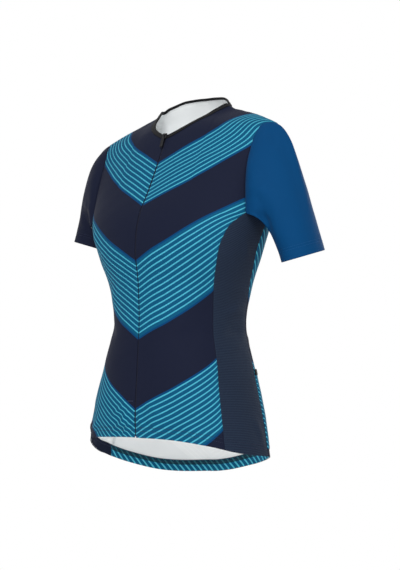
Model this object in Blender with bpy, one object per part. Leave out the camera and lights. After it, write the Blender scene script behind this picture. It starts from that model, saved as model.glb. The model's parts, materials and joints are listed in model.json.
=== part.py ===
"""Women's short-sleeved triathlon top, empty and open, standing as worn.

Metres, +Z up. The front faces -Y and the wearer's left is +X. The origin lies
on the middle line, 7 mm below the height of the shoulder-neck points.
The garment is one smooth figure-shaped surface cut into panels. A place on it
is (angle, height): angle in degrees round the ring, 0 at the centre front, 90
at the side, 180 at the centre back. Height is the true height below the
underarm; above it, heights 0..RISE reach from the underarm to the shoulder.
"""
import math

import bmesh
import bpy
import numpy as np
from mathutils import Matrix

# ---------------------------------------------------------------- sizes (m)
WALL = 0.0012           # knit fabric wall
SEAM = 0.0003           # space between neighbouring solids
HALF_SEAM = SEAM / 2.0
ARM_SEAM = 0.0004       # each side of an armhole seam, where walls meet at an angle
UNDERARM = -0.205       # height of the underarm
RISE = 0.200            # length of the scale from underarm to shoulder line
CAP_START = 0.20        # part of that scale where the chest starts to close
RING_POWER = 2.25       # squareness of the rings (2 is an ellipse)

LOW_ROWS = 11           # rows from hem to underarm
ARM_ROWS = 11           # rows up the armhole
EDGE_DROP = 0.0072      # height of the narrow row along the neckline
NECK_COLS = 6           # columns along half a neckline
SHOULDER_COLS = 5       # columns along a shoulder seam
SIDE_COLS = 6
SLEEVE_ROWS = 7

LEVELS = (
    # name          z      half_width  front   back   axis_y
    ("hem",        -0.620, 0.176,      0.100,  0.101, -0.001),
    ("high_hip",   -0.520, 0.157,      0.109,  0.098, -0.002),
    ("low_waist",  -0.440, 0.133,      0.113,  0.089,  0.003),
    ("waist",      -0.370, 0.113,      0.116,  0.078,  0.007),
    ("ribs",       -0.310, 0.124,      0.116,  0.084,  0.002),
    ("bust",       -0.255, 0.149,      0.115,  0.091, -0.009),
    ("underarm",   -0.205, 0.168,      0.105,  0.097, -0.014),
    ("chest",      -0.150, 0.177,      0.0834, 0.099, -0.010),
    ("yoke",       -0.100, 0.187,      0.065,  0.095, -0.008),
    ("shoulder",   -0.050, 0.201,      0.051,  0.084, -0.004),
    ("neck_point",  0.000, 0.187,      0.039,  0.0644, 0.0216),
    ("nape",        0.040, 0.187,      0.032,  0.0656, 0.006),
)

RIDGE = (
    # name            x      z         the shoulder line; inside the neck it
    ("neck_axis",     0.000,  0.080),  # is the closed top of the neck that
    ("neck_inside",   0.040,  0.055),  # the neckline is cut from
    ("neck_point",    0.0706, 0.0067),
    ("neck_slope",    0.101, -0.0098),
    ("mid_shoulder",  0.131, -0.0247),
    ("outer",         0.160, -0.0387),
    ("shoulder_tip",  0.185, -0.053),
)

HEM_LINE = (
    # angle   height   lift of the left side, drop of the right
    (-20.0,  -0.552, -0.004),
    (0.0,    -0.550,  0.000),
    (20.0,   -0.552,  0.005),
    (45.0,   -0.560,  0.008),
    (65.0,   -0.572,  0.011),
    (90.0,   -0.589,  0.019),
    (120.0,  -0.607,  0.024),
    (150.0,  -0.624,  0.018),
    (180.0,  -0.632,  0.000),
    (210.0,  -0.624, -0.018),
)

FRONT_SEAM = (
    # name          z      angle       front panel to side panel
    ("hem",        -0.575, 56.5),
    ("hip",        -0.470, 59.5),
    ("low_waist",  -0.400, 63.0),
    ("waist",      -0.360, 63.5),
    ("ribs",       -0.285, 58.5),
    ("bust",       -0.235, 57.5),
    ("high_bust",  -0.215, 60.5),
    ("underarm",   -0.198, 69.5),
)

BACK_SEAM = (
    # name          z      angle       side panel to back panel
    ("hem",        -0.590, 101.5),
    ("hip",        -0.480, 104.0),
    ("waist",      -0.370, 106.5),
    ("low_ribs",   -0.325, 103.5),
    ("ribs",       -0.295,  99.0),
    ("bust",       -0.253,  92.5),
    ("underarm",   -0.2095, 94.0),
)

FRONT_ARMHOLE = (
    # share  angle   height above the underarm, on the RISE scale
    (0.00,   69.5,  0.006),
    (0.06,   68.1,  0.0127),
    (0.26,   60.9,  0.046),
    (0.40,   56.9,  0.068),
    (0.55,   54.2,  0.091),
    (0.70,   51.8,  0.118),
    (0.86,   53.5,  0.156),
    (1.00,   None,  0.200),
)

BACK_ARMHOLE = (
    (0.00,   94.0, -0.0045),
    (0.10,  103.0, -0.002),
    (0.20,  110.0,  0.0115),
    (0.33,  116.0,  0.036),
    (0.46,  120.0,  0.062),
    (0.60,  123.0,  0.090),
    (0.74,  124.5,  0.120),
    (0.88,  123.5,  0.156),
    (1.00,   None,  0.200),
)

SIDE_TOP = (
    # angle  height
    (69.5,   0.006),
    (80.0,   0.0035),
    (88.0,  -0.0006),
    (94.0,  -0.0045),
)

FRONT_NECK = (
    # share  angle   z
    (0.00,    0.0, -0.0603),
    (0.18,    4.2, -0.0518),
    (0.41,    9.6, -0.0375),
    (0.61,   13.3, -0.0232),
    (0.77,   15.4, -0.0103),
    (1.00,   None,  0.0067),
)

BACK_NECK = (
    (0.00,  180.0,  0.0258),
    (0.30,  174.0,  0.0252),
    (0.64,  167.2,  0.0218),
    (0.84,  162.9,  0.0145),
    (1.00,   None,  0.0067),
)

# Sleeves: each a tube from the armhole to an oval cuff on the arm's axis. The
# arms hang a little differently; both are given as for the left side.
ARMS = {
    1: {
        "cuff_centre": (0.2270, 0.0075, -0.2599),
        "out": 13.1,            # degrees the arm stands out from the body
        "back": 12.7,           # degrees it swings back
        "cuff_across": 0.0318,  # half width of the cuff, side to side
        "cuff_depth": 0.0432,   # half depth of the cuff, front to back
        "head_slope": 35.1,     # degrees the sleeve head falls away from the shoulder
        "head_pull": 0.570,     # how far the sleeve head runs out before it turns
        "cuff_pull": 1.764,
    },
    -1: {
        "cuff_centre": (0.2232, 0.0127, -0.2326),
        "out": 13.6,
        "back": -6.4,
        "cuff_across": 0.0360,
        "cuff_depth": 0.0434,
        "head_slope": 22.1,
        "head_pull": 0.922,
        "cuff_pull": 1.268,
    },
}
FOOT_PULL = 1.25        # how strongly the underarm runs on from the seam
FOOT_SPREAD = 5.0       # how far the underarm stands off the side at the seam
FOOT_RISE = 0.35        # how much straighter the underarm reaches the cuff

# Neck binding, folded over the edge.
BINDING_LEG = 0.0056
BINDING_WALL = 0.0010
BINDING_GAP = 0.0004
BINDING_LIFT = 0.0006   # extra room over the shoulder seam
CORNER_LIFT = 0.0016    # the same where the neckline turns up to that seam
BINDING_END = 0.0016    # from the middle line to each end

# Zip.
TAPE_HALF = 0.0130
TAPE_WALL = 0.0010
TAPE_GAP = 0.0005
SLIDER_W = 0.0072
SLIDER_H = 0.0095
SLIDER_T = 0.0026
LUG_T = 0.0009
PIN_R = 0.0005
PIN_GAP = 0.0003        # between the pull's head and the slider
HEAD_W = 0.0026
HEAD_R = 0.0013
EYE_R = 0.0008
PULL_LEN = 0.0240
PULL_W = 0.0056
PULL_T = 0.0016

# Rear pocket and hem facing.
POCKET_MOUTH = -0.4585  # height of the top of its cloth at the middle line
POCKET_TILT = 0.068     # its rise towards the left, as the hem's
POCKET_FOOT = 0.35      # row of the back where it starts, above the hem
POCKET_WALL = 0.0010
POCKET_GAPE = 0.0030
POCKET_EDGE = 0.0080
FACING_H = 0.0200
FACING_WALL = 0.0010

BODY_COLLECTION = "triathlon_top"
CUTTER_COLLECTION = "triathlon_top_cutters"


# ------------------------------------------------------------- the surface
def smooth(xs, ys, x):
    """Cubic through a short table, flat beyond its ends."""
    xs = np.asarray(xs, float)
    ys = np.asarray(ys, float)
    x = np.clip(np.asarray(x, float), xs[0], xs[-1])
    step = np.diff(xs)
    rate = np.diff(ys) / step
    slope = np.empty_like(ys)
    slope[0] = rate[0]
    slope[-1] = rate[-1]
    slope[1:-1] = (rate[:-1] * step[1:] + rate[1:] * step[:-1]) / (step[1:] + step[:-1])
    k = np.clip(np.searchsorted(xs, x, side="right") - 1, 0, len(xs) - 2)
    t = (x - xs[k]) / step[k]
    rise = ys[k] * (1 + 2 * t) * (1 - t) ** 2 + ys[k + 1] * t * t * (3 - 2 * t)
    return rise + step[k] * (slope[k] * t * (1 - t) ** 2 - slope[k + 1] * t * t * (1 - t))


def column(table, index):
    """One column of a table as an array."""
    return np.array([row[index] for row in table], float)


def level(index, z):
    """A ring size at height z."""
    return smooth(column(LEVELS, 1), column(LEVELS, index), z)


def ridge_angles():
    """Ring angle of each row of RIDGE."""
    x = column(RIDGE, 1)
    z = column(RIDGE, 2)
    return np.degrees(np.arcsin((x / level(2, z)) ** (RING_POWER / 2.0)))


def fold_angle(angle):
    """Angle from the nearer of centre front and centre back."""
    a = np.abs(np.asarray(angle, float))
    return np.where(a > 90.0, 180.0 - a, a)


def ridge_height(angle):
    """Height of the shoulder line at a ring angle."""
    return smooth(ridge_angles(), column(RIDGE, 2), fold_angle(angle))


def ridge_angle_at(name):
    """Ring angle of a named point of the shoulder line."""
    names = [row[0] for row in RIDGE]
    return float(ridge_angles()[names.index(name)])


def scale_height(angle, z):
    """Height on the RISE scale of a true height z above the underarm."""
    share = (np.asarray(z, float) - UNDERARM) / (ridge_height(angle) - UNDERARM)
    return RISE * np.arcsin(np.clip(share, 0.0, 1.0)) / (math.pi / 2.0)


def surface(angle, height):
    """Points of the garment's outside at (angle, height)."""
    angle, height = np.broadcast_arrays(np.asarray(angle, float), np.asarray(height, float))
    share = np.sin(np.clip(height / RISE, 0.0, 1.0) * math.pi / 2.0)
    z = np.where(height <= 0.0, UNDERARM + height, UNDERARM + share * (ridge_height(angle) - UNDERARM))
    closing = np.clip((share - CAP_START) / (1.0 - CAP_START), 0.0, 1.0)
    cap = np.sqrt(np.clip(1.0 - closing ** 2, 0.0, 1.0))
    sine = np.sin(np.radians(angle))
    cosine = np.cos(np.radians(angle))
    x = level(2, z) * np.sign(sine) * np.abs(sine) ** (2.0 / RING_POWER)
    reach = np.abs(cosine) ** (2.0 / RING_POWER) * cap
    y = level(5, z) + np.where(cosine > 0.0, -level(3, z), level(4, z)) * reach
    return np.stack([x, y, z], axis=-1)


def unit(v):
    """Vectors of length one."""
    return v / np.maximum(np.linalg.norm(v, axis=-1, keepdims=True), 1e-12)


def surface_normal(angle, height):
    """Outward directions of the garment's outside."""
    angle, height = np.broadcast_arrays(np.asarray(angle, float), np.asarray(height, float))
    top = np.minimum(height + 0.002, RISE)
    along = surface(angle + 1.0, height) - surface(angle - 1.0, height)
    up = surface(angle, top) - surface(angle, top - 0.004)
    return unit(np.cross(along, up))


# ------------------------------------------------------------- the cutting
def neck_curve(table):
    """(angle, height) of half a neckline, centre to shoulder."""
    share = np.linspace(0.0, 1.0, NECK_COLS + 1)
    side = ridge_angle_at("neck_point")
    last = side if table[0][1] < 90.0 else 180.0 - side
    angles = [last if row[1] is None else row[1] for row in table]
    angle = smooth(column(table, 0), angles, share)
    z = smooth(column(table, 0), column(table, 2), share)
    height = scale_height(angle, z)
    height[-1] = RISE
    return angle, height


def shoulder_curve(back):
    """(angle, height) of the shoulder seam, neck point to tip."""
    x0 = RIDGE[2][1]
    x1 = RIDGE[-1][1]
    x = np.linspace(x0, x1, SHOULDER_COLS + 1)[1:]
    angle = smooth(column(RIDGE, 1), ridge_angles(), x)
    return (180.0 - angle if back else angle), np.full(len(angle), RISE)


def top_curve(back):
    """Top edge of a half panel: neckline, then shoulder seam."""
    neck = neck_curve(BACK_NECK if back else FRONT_NECK)
    shoulder = shoulder_curve(back)
    return np.concatenate([neck[0], shoulder[0]]), np.concatenate([neck[1], shoulder[1]])


def side_curve(back, hand):
    """Outer edge of a half panel: long seam, then armhole."""
    seam = BACK_SEAM if back else FRONT_SEAM
    armhole = BACK_ARMHOLE if back else FRONT_ARMHOLE
    foot = float(hem_height(hand * column(seam, 2)[0]))
    low = np.linspace(foot, armhole[0][2], LOW_ROWS + 1)
    low_angle = smooth(column(seam, 1), column(seam, 2), UNDERARM + low)
    tip = ridge_angle_at("shoulder_tip")
    last = 180.0 - tip if back else tip
    angles = [last if row[1] is None else row[1] for row in armhole]
    share = np.append(np.linspace(0.0, 0.96, ARM_ROWS)[1:], 1.0)
    up = smooth(column(armhole, 0), column(armhole, 2), share)
    up_angle = smooth(column(armhole, 0), angles, share)
    low_angle[-1] = armhole[0][1]
    return np.concatenate([low_angle, up_angle]), np.concatenate([low, up])


def hem_height(angle):
    """Height of the hem at a ring angle."""
    turn = np.abs(angle)
    height = smooth(column(HEM_LINE, 0), column(HEM_LINE, 1), turn)
    lift = smooth(column(HEM_LINE, 0), column(HEM_LINE, 2), turn)
    return height + lift * np.sign(angle) - UNDERARM


def half_panel(back, hand):
    """(angle, height) grids of a front, or of half the back.

    The angles stay positive; hand is 1 for the left side, -1 for the right.
    """
    centre = 180.0 if back else 0.0
    top = np.array(top_curve(back))
    side = np.array(side_curve(back, hand))
    cols = top.shape[1]
    rows = side.shape[1]
    u = np.linspace(0.0, 1.0, cols)[:, None]
    v = np.linspace(0.0, 1.0, rows)[None, :]
    foot_angle = centre + (side[0, 0] - centre) * u
    between = (1 - v) * foot_angle + v * top[0][:, None]
    side_rise = side[0] - (1 - v) * side[0, 0] - v * side[0, -1]
    angle = between + u ** 3 * side_rise
    foot = hem_height(hand * foot_angle)
    armpit = side[1, LOW_ROWS]
    lower = foot + (armpit - foot) * np.linspace(0.0, 1.0, LOW_ROWS + 1)[None, :-1]
    share = (side[1, LOW_ROWS:] - armpit) / (RISE - armpit)
    far = armpit + (top[1][:, None] - armpit) * share[None, :]
    near = neck_side_rows(angle[:, LOW_ROWS:], armpit, top, share)
    t = np.clip((u - 0.36) / 0.28, 0.0, 1.0)
    weight = t * t * (3 - 2 * t)
    height = np.concatenate([lower, (1 - weight) * near + weight * far], axis=1)
    height[:, -1] = top[1]
    height[-1] = side[1]
    return angle, height


def neck_side_rows(angle, armpit, top, share):
    """Heights of the rows under the neckline, the last one EDGE_DROP below its edge."""
    low = surface(angle[:, 0], np.full(len(angle), armpit))[:, 2:3]
    high = surface(top[0], top[1])[:, 2:3]
    rise = np.sin(share * math.pi / 2.0)[None, :]
    even = rise / rise[0, -2] * (high - low - EDGE_DROP)
    z = low + np.where(share[None, :] < 1.0, even, high - low)
    return np.where(z < UNDERARM, z - UNDERARM, scale_height(angle, z))


def side_panel(hand):
    """(angle, height) grids of a side panel."""
    front = np.array(side_curve(False, hand))[:, :LOW_ROWS + 1]
    back = np.array(side_curve(True, hand))[:, :LOW_ROWS + 1]
    u = np.linspace(0.0, 1.0, SIDE_COLS + 1)[:, None]
    v = np.linspace(0.0, 1.0, LOW_ROWS + 1)[None, :]
    angle = (1 - u) * front[0][None, :] + u * back[0][None, :]
    height = (1 - u) * front[1][None, :] + u * back[1][None, :]
    foot = hem_height(hand * angle[:, :1]) - height[:, :1]
    top = smooth(column(SIDE_TOP, 0), column(SIDE_TOP, 1), angle[:, -1:]) - height[:, -1:]
    return angle, height + (1 - v) * foot + v * top


def armhole_loop():
    """(angle, height) round the armhole: tip, front, underarm, back."""
    front = np.array(side_curve(False, 1))[:, LOW_ROWS:]
    back = np.array(side_curve(True, 1))[:, LOW_ROWS:]
    angle, height = side_panel(1)
    under = np.array([angle[1:-1, -1], height[1:-1, -1]])
    return np.concatenate([front[:, ::-1], under, back[:, :-1]], axis=1)


def arm_axes(arm):
    """Arm direction, and the cuff's across and depth directions."""
    out = math.radians(arm["out"])
    back = math.radians(arm["back"])
    axis = np.array([math.sin(out), math.sin(back), -math.cos(out)])
    axis = axis / np.linalg.norm(axis)
    across = unit(np.cross(np.array([0.0, 1.0, 0.0]), axis))
    if across[0] < 0:
        across = -across
    depth = unit(np.cross(across, axis))
    if depth[1] > 0:
        depth = -depth
    return axis, across, depth


def sleeve_grid(hand):
    """Outer points of a sleeve, as for the left side: ring places by rows down the arm."""
    arm = ARMS[hand]
    loop = armhole_loop()
    start = surface(loop[0], loop[1])
    rel = start - start.mean(axis=0)
    turn = np.unwrap(np.arctan2(-rel[:, 1], rel[:, 2]))
    even = np.linspace(0.0, 2.0 * math.pi, len(start), endpoint=False)
    beta = 0.5 * np.abs(turn - turn[0]) + 0.5 * even
    axis, across, depth = arm_axes(arm)
    ring = np.outer(np.cos(beta), across) * arm["cuff_across"]
    ring = ring + np.outer(np.sin(beta), depth) * arm["cuff_depth"]
    end = np.array(arm["cuff_centre"]) + ring
    slope = math.radians(arm["head_slope"])
    head = np.array([math.cos(slope), 0.0, -math.sin(slope)])
    under = (0.5 - 0.5 * np.cos(beta))[:, None]
    away = surface_normal(loop[0], loop[1])
    lead = unit((1 - under) * head + under * (axis + FOOT_SPREAD * away))
    chord = np.linalg.norm(end - start, axis=1)[:, None]
    first = lead * chord * ((1 - under) * arm["head_pull"] + under ** 2 * FOOT_PULL)
    last = axis[None, :] * chord * arm["cuff_pull"] * (1.0 + FOOT_RISE * under ** 2)
    rows = []
    for t in np.linspace(0.0, 1.0, SLEEVE_ROWS + 1):
        point = (1 + 2 * t) * (1 - t) ** 2 * start + t * t * (3 - 2 * t) * end
        rows.append(point + t * (1 - t) ** 2 * first - t * t * (1 - t) * last)
    return np.stack(rows, axis=1)


def tube_normals(grid):
    """Outward directions of a closed tube of points."""
    around = np.roll(grid, -1, axis=0) - np.roll(grid, 1, axis=0)
    down = np.gradient(grid, axis=1)
    return unit(np.cross(around, down))


# ------------------------------------------------------------- the walls
class Cloth:
    """Outer and inner points of a panel, before its edges are trimmed."""

    def __init__(self, outer, outward, wall):
        self.outer = outer
        self.outward = outward
        self.inner = outer - outward * wall

    def place(self, column_at, row_at, lift):
        """Point at a column and row of the panel, lifted off its outside."""
        return blend(self.outer, column_at, row_at) + blend(self.outward, column_at, row_at) * lift

    def inside(self, column_at, row_at, lift):
        """Point at a column and row, lifted off the panel's inside."""
        return blend(self.inner, column_at, row_at) - blend(self.outward, column_at, row_at) * lift


def blend(grid, column_at, row_at):
    """Value between the points of a grid."""
    i = min(int(column_at), grid.shape[0] - 2)
    j = min(int(row_at), grid.shape[1] - 2)
    s = column_at - i
    t = row_at - j
    near = grid[i, j] * (1 - s) + grid[i + 1, j] * s
    far = grid[i, j + 1] * (1 - s) + grid[i + 1, j + 1] * s
    return near * (1 - t) + far * t


def mitre(first, second):
    """Offset direction shared by two cloths that meet at an angle."""
    both = first + second
    size = np.linalg.norm(both, axis=-1, keepdims=True)
    return both / size * np.minimum(2.0 / size, 1.35)


def mirrored(points):
    """The other side's points."""
    return points * np.array([-1.0, 1.0, 1.0])


def trim(grid, sides):
    """Pull the named edges of a grid of points in, each by its own amount."""
    cut = grid.copy()
    if "left" in sides:
        cut[0] += unit(grid[1] - grid[0]) * sides["left"]
    if "right" in sides:
        cut[-1] += unit(grid[-2] - grid[-1]) * sides["right"]
    if "foot" in sides:
        cut[:, 0] += unit(grid[:, 1] - grid[:, 0]) * sides["foot"]
    if "top" in sides:
        cut[:, -1] += unit(grid[:, -2] - grid[:, -1]) * sides["top"]
    return cut


def add_quads(faces, a, b, c, d):
    """Two triangles over four corners, always split the same way."""
    faces.append((a, b, c))
    faces.append((a, c, d))


def wall_mesh(outer, inner, closed):
    """Vertices and triangles of a wall; closed joins the last column to the first."""
    cols, rows = outer.shape[:2]
    points = np.concatenate([outer.reshape(-1, 3), inner.reshape(-1, 3)])
    half = cols * rows
    faces = []
    last = cols if closed else cols - 1
    for i in range(last):
        k = (i + 1) % cols
        for j in range(rows - 1):
            a, b, c, d = i * rows + j, k * rows + j, k * rows + j + 1, i * rows + j + 1
            add_quads(faces, a, b, c, d)
            faces.append((a + half, c + half, b + half))
            faces.append((a + half, d + half, c + half))
        for j in (0, rows - 1):
            rim = (i * rows + j, k * rows + j, k * rows + j + half, i * rows + j + half)
            add_quads(faces, *(rim if j else (rim[0], rim[3], rim[2], rim[1])))
    if not closed:
        for i in (0, cols - 1):
            for j in range(rows - 1):
                a = i * rows + j
                rim = (a, a + 1, a + 1 + half, a + half)
                add_quads(faces, *(rim if i == 0 else rim[::-1]))
    return points, faces


def strip_mesh(sections, turned=()):
    """Bar through equal sections; turned holds the (step, side) split the other way."""
    ring = np.array(sections)
    count, size = ring.shape[:2]
    faces = []
    for i in range(count - 1):
        for k in range(size):
            m = (k + 1) % size
            quad = (i * size + k, i * size + m, (i + 1) * size + m, (i + 1) * size + k)
            add_quads(faces, *(quad[1:] + quad[:1] if (i, k) in turned else quad))
    return ring.reshape(-1, 3), faces


# ------------------------------------------------------------- materials
def material(name, colour, roughness):
    """Plain Principled material."""
    mat = bpy.data.materials.new(name)
    mat.use_nodes = True
    shader = mat.node_tree.nodes["Principled BSDF"]
    shader.inputs["Base Color"].default_value = (*colour, 1.0)
    shader.inputs["Roughness"].default_value = roughness
    mat.diffuse_color = (*colour, 1.0)
    return mat


def add_object(name, points, faces, mat, home):
    """One closed mesh object with its faces turned outward."""
    mesh = bpy.data.meshes.new(name)
    mesh.from_pydata([tuple(p) for p in points], [], faces)
    work = bmesh.new()
    work.from_mesh(mesh)
    bmesh.ops.recalc_face_normals(work, faces=work.faces)
    if work.calc_volume(signed=True) < 0.0:
        bmesh.ops.reverse_faces(work, faces=work.faces)
    work.to_mesh(mesh)
    work.free()
    mesh.materials.append(mat)
    obj = bpy.data.objects.new(name, mesh)
    home.objects.link(obj)
    return obj


# ------------------------------------------------------------- the panels
def panel_cloth(grid, edge_outward):
    """Cloth of a body panel from its (angle, height) grids."""
    outer = surface(grid[0], grid[1])
    outward = surface_normal(grid[0], grid[1])
    for (i, j), value in edge_outward.items():
        outward[i, j] = value
    return Cloth(outer, outward, WALL)


def armhole_mitres(hand):
    """Shared offset directions round an armhole, in loop order."""
    loop = armhole_loop()
    body = surface_normal(loop[0], loop[1])
    shoulder_front = surface_normal(loop[0][0], loop[1][0])
    shoulder_back = surface_normal(180.0 - loop[0][0], loop[1][0])
    body[0] = unit(shoulder_front + shoulder_back)
    sleeve = tube_normals(sleeve_grid(hand))[:, 0]
    return mitre(body, sleeve)


def edge_directions(back, hand):
    """Shared directions at the armhole and shoulder seam of a half panel."""
    shared = armhole_mitres(hand)
    ring = len(shared)
    found = {}
    last = NECK_COLS + SHOULDER_COLS
    for j in range(ARM_ROWS + 1):
        k = (ring - (ARM_ROWS - j)) % ring if back else ARM_ROWS - j
        found[(last, LOW_ROWS + j)] = shared[k]
    top = top_curve(False)
    for i in range(NECK_COLS, last):
        front = surface_normal(top[0][i], RISE)
        rear = surface_normal(180.0 - top[0][i], RISE)
        found[(i, LOW_ROWS + ARM_ROWS)] = unit(front + rear)
    return found


def front_cloth(hand):
    """Cloth of a front panel; hand is 1 for left, -1 for right."""
    cloth = panel_cloth(half_panel(False, hand), edge_directions(False, hand))
    return flipped(cloth) if hand < 0 else cloth


def flipped(cloth):
    """The same cloth on the other side of the body."""
    turned = Cloth(mirrored(cloth.outer), mirrored(cloth.outward), WALL)
    return turned


def back_cloth():
    """Cloth of the whole back, right armhole to left armhole."""
    left = panel_cloth(half_panel(True, 1), edge_directions(True, 1))
    right = flipped(panel_cloth(half_panel(True, -1), edge_directions(True, -1)))
    outer = np.concatenate([right.outer[::-1], left.outer[1:]])
    outward = np.concatenate([right.outward[::-1], left.outward[1:]])
    return Cloth(outer, outward, WALL)


def side_cloth(hand):
    """Cloth of a side panel."""
    shared = armhole_mitres(hand)
    found = {}
    for i in range(SIDE_COLS + 1):
        found[(i, LOW_ROWS)] = shared[ARM_ROWS + i]
    cloth = panel_cloth(side_panel(hand), found)
    return flipped(cloth) if hand < 0 else cloth


def sleeve_cloth(hand):
    """Cloth of a sleeve."""
    outer = sleeve_grid(hand)
    outward = tube_normals(outer)
    outward[:, 0] = armhole_mitres(hand)
    cloth = Cloth(outer, outward, WALL)
    return flipped(cloth) if hand < 0 else cloth


def add_panel(name, cloth, sides, closed, mat, home):
    """Solid of one cloth panel, trimmed at its seams."""
    outer = trim(cloth.outer, sides)
    inner = trim(cloth.inner, sides)
    points, faces = wall_mesh(outer, inner, closed)
    return add_object(name, points, faces, mat, home)


# ------------------------------------------------------------- laid-on parts
def laid_on(cloth, columns, rows, lift, wall, outside):
    """Wall over part of a panel, lifted off it; rows are listed for each column.

    The lift is a function of the shares across and up.
    """
    near = np.zeros((len(columns), len(rows[0]), 3))
    far = np.zeros((len(columns), len(rows[0]), 3))
    for i, c in enumerate(columns):
        for j, r in enumerate(rows[i]):
            gap = lift(i / (len(columns) - 1), j / (len(rows[i]) - 1))
            take = cloth.place if outside else cloth.inside
            near[i, j] = take(c, r, gap)
            far[i, j] = take(c, r, gap + wall)
    return (far, near) if outside else (near, far)


def columns_within(cloth, margin):
    """All columns of a panel, the outer two pulled in by margin."""
    count = cloth.outer.shape[0]
    columns = [float(i) for i in range(count)]
    columns[0] = margin
    columns[-1] = count - 1 - margin
    return columns


def mouth_row(cloth, column_at, above):
    """Row of the back at the pocket's mouth, or a little above it."""
    low = blend(cloth.outer, column_at, 0)[2]
    high = blend(cloth.outer, column_at, LOW_ROWS)[2]
    mouth = POCKET_MOUTH + POCKET_TILT * blend(cloth.outer, column_at, LOW_ROWS / 3.0)[0]
    return LOW_ROWS * (mouth + above - low) / (high - low)


def pocket_rows(cloth, column_at):
    """Rows of the back that the pocket covers."""
    mouth = mouth_row(cloth, column_at, 0.0)
    return [POCKET_FOOT, 1.0, 2.0, 3.0, min(4.0, mouth - 0.1), mouth]


def pocket_lift(across, up):
    """Space under the pocket: it gapes a little towards its mouth."""
    return SEAM + POCKET_GAPE * math.sin(math.pi * across) * up * up


def add_pocket(cloth, mat, home):
    """Rear pocket laid on the lower back."""
    columns = columns_within(cloth, 0.06)
    rows = [pocket_rows(cloth, c) for c in columns]
    outer, inner = laid_on(cloth, columns, rows, pocket_lift, POCKET_WALL, True)
    points, faces = wall_mesh(outer, inner, False)
    return add_object("pocket", points, faces, mat, home)


def add_pocket_binding(cloth, mat, home):
    """Elastic edge along the mouth of the pocket."""
    columns = columns_within(cloth, 0.06)
    rows = [[mouth_row(cloth, c, SEAM), mouth_row(cloth, c, SEAM + POCKET_EDGE)] for c in columns]
    outer, inner = laid_on(cloth, columns, rows, lambda across, up: pocket_lift(across, 1.0), 0.0015, True)
    points, faces = wall_mesh(outer, inner, False)
    return add_object("pocket_binding", points, faces, mat, home)


def hem_cloth(left, back, right):
    """Side panels and back below the underarm, as one cloth from right to left."""
    rows = LOW_ROWS + 1
    outer = [right.outer, back.outer[1:, :rows], left.outer[::-1][1:]]
    outward = [right.outward, back.outward[1:, :rows], left.outward[::-1][1:]]
    return Cloth(np.concatenate(outer), np.concatenate(outward), WALL)


def add_facing(cloth, mat, home):
    """Turned-up facing inside the hem of the sides and back."""
    columns = columns_within(cloth, 0.06)
    rows = []
    for c in columns:
        one = FACING_H / np.linalg.norm(blend(cloth.outer, c, 1.0) - blend(cloth.outer, c, 0.0))
        rows.append([0.01, 0.5 * one, one])
    outer, inner = laid_on(cloth, columns, rows, lambda across, up: SEAM, FACING_WALL, False)
    points, faces = wall_mesh(outer, inner, False)
    return add_object("hem_facing", points, faces, mat, home)


def neck_stations(left, right, back):
    """Places round the neck edge, each as outer and inner edge and leg points.

    They run from the right end at the centre front, round the back, to the left end.
    """
    middle = NECK_COLS + SHOULDER_COLS
    near = NECK_COLS - 0.12
    stations = [end_station(right)]
    stations.extend(neck_station(right, float(i), i) for i in range(1, NECK_COLS - 1))
    stations.append(neck_station(right, NECK_COLS - 1.0, NECK_COLS - 1, CORNER_LIFT))
    stations.append(neck_station(right, near, NECK_COLS, CORNER_LIFT))
    stations.append(shoulder_station(right))
    stations.append(neck_station(back, middle - near, SHOULDER_COLS))
    last = 2 * middle - SHOULDER_COLS
    for i in range(SHOULDER_COLS + 1, last):
        stations.append(neck_station(back, float(i), i))
    stations.append(neck_station(back, middle + near, last))
    stations.append(shoulder_station(left))
    stations.append(neck_station(left, near, NECK_COLS, CORNER_LIFT))
    stations.append(neck_station(left, NECK_COLS - 1.0, NECK_COLS - 1, CORNER_LIFT))
    stations.extend(neck_station(left, float(i), i) for i in reversed(range(1, NECK_COLS - 1)))
    stations.append(end_station(left))
    return stations


def neck_station(cloth, at, foot_column, lift=0.0):
    """Neck edge at a column, and the row below it, on both sides of the cloth."""
    top = LOW_ROWS + ARM_ROWS
    edge = blend(cloth.outer, at, top)
    outward = unit(blend(cloth.outward, at, top))
    foot = blend(cloth.outer, foot_column, top - 1)
    foot_outward = unit(blend(cloth.outward, foot_column, top - 1))
    return edge, outward, foot, foot_outward, lift


def end_station(front):
    """The same where the binding stops, just clear of the middle line."""
    at = BINDING_END / abs(front.outer[1, LOW_ROWS + ARM_ROWS][0])
    return neck_station(front, at, at)


def shoulder_station(front):
    """The same where the shoulder seam meets the neck: the leg lies along the seam."""
    top = LOW_ROWS + ARM_ROWS
    edge = front.outer[NECK_COLS, top]
    outward = front.outward[NECK_COLS, top]
    toward = unit(front.outer[NECK_COLS + 1, top] - edge)
    return edge, outward, edge + toward * BINDING_LEG, outward, BINDING_LIFT


def binding_section(station):
    """U-shaped section of the binding round one place of the neck edge."""
    edge, outward, foot, foot_outward, lift = station
    up = unit(edge - foot)
    gap = BINDING_GAP
    wall = BINDING_WALL
    deep = WALL + gap
    return [
        foot + foot_outward * (gap + lift),
        edge + outward * gap + up * gap,
        edge - outward * deep + up * gap,
        foot - foot_outward * (deep + lift),
        foot - foot_outward * (deep + lift + wall),
        edge - outward * (deep + wall) + up * (gap + 0.6 * wall),
        edge - outward * 0.5 * WALL + up * (gap + 1.2 * wall),
        edge + outward * (gap + wall) + up * (gap + 0.6 * wall),
        foot + foot_outward * (gap + lift + wall),
    ]


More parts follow.
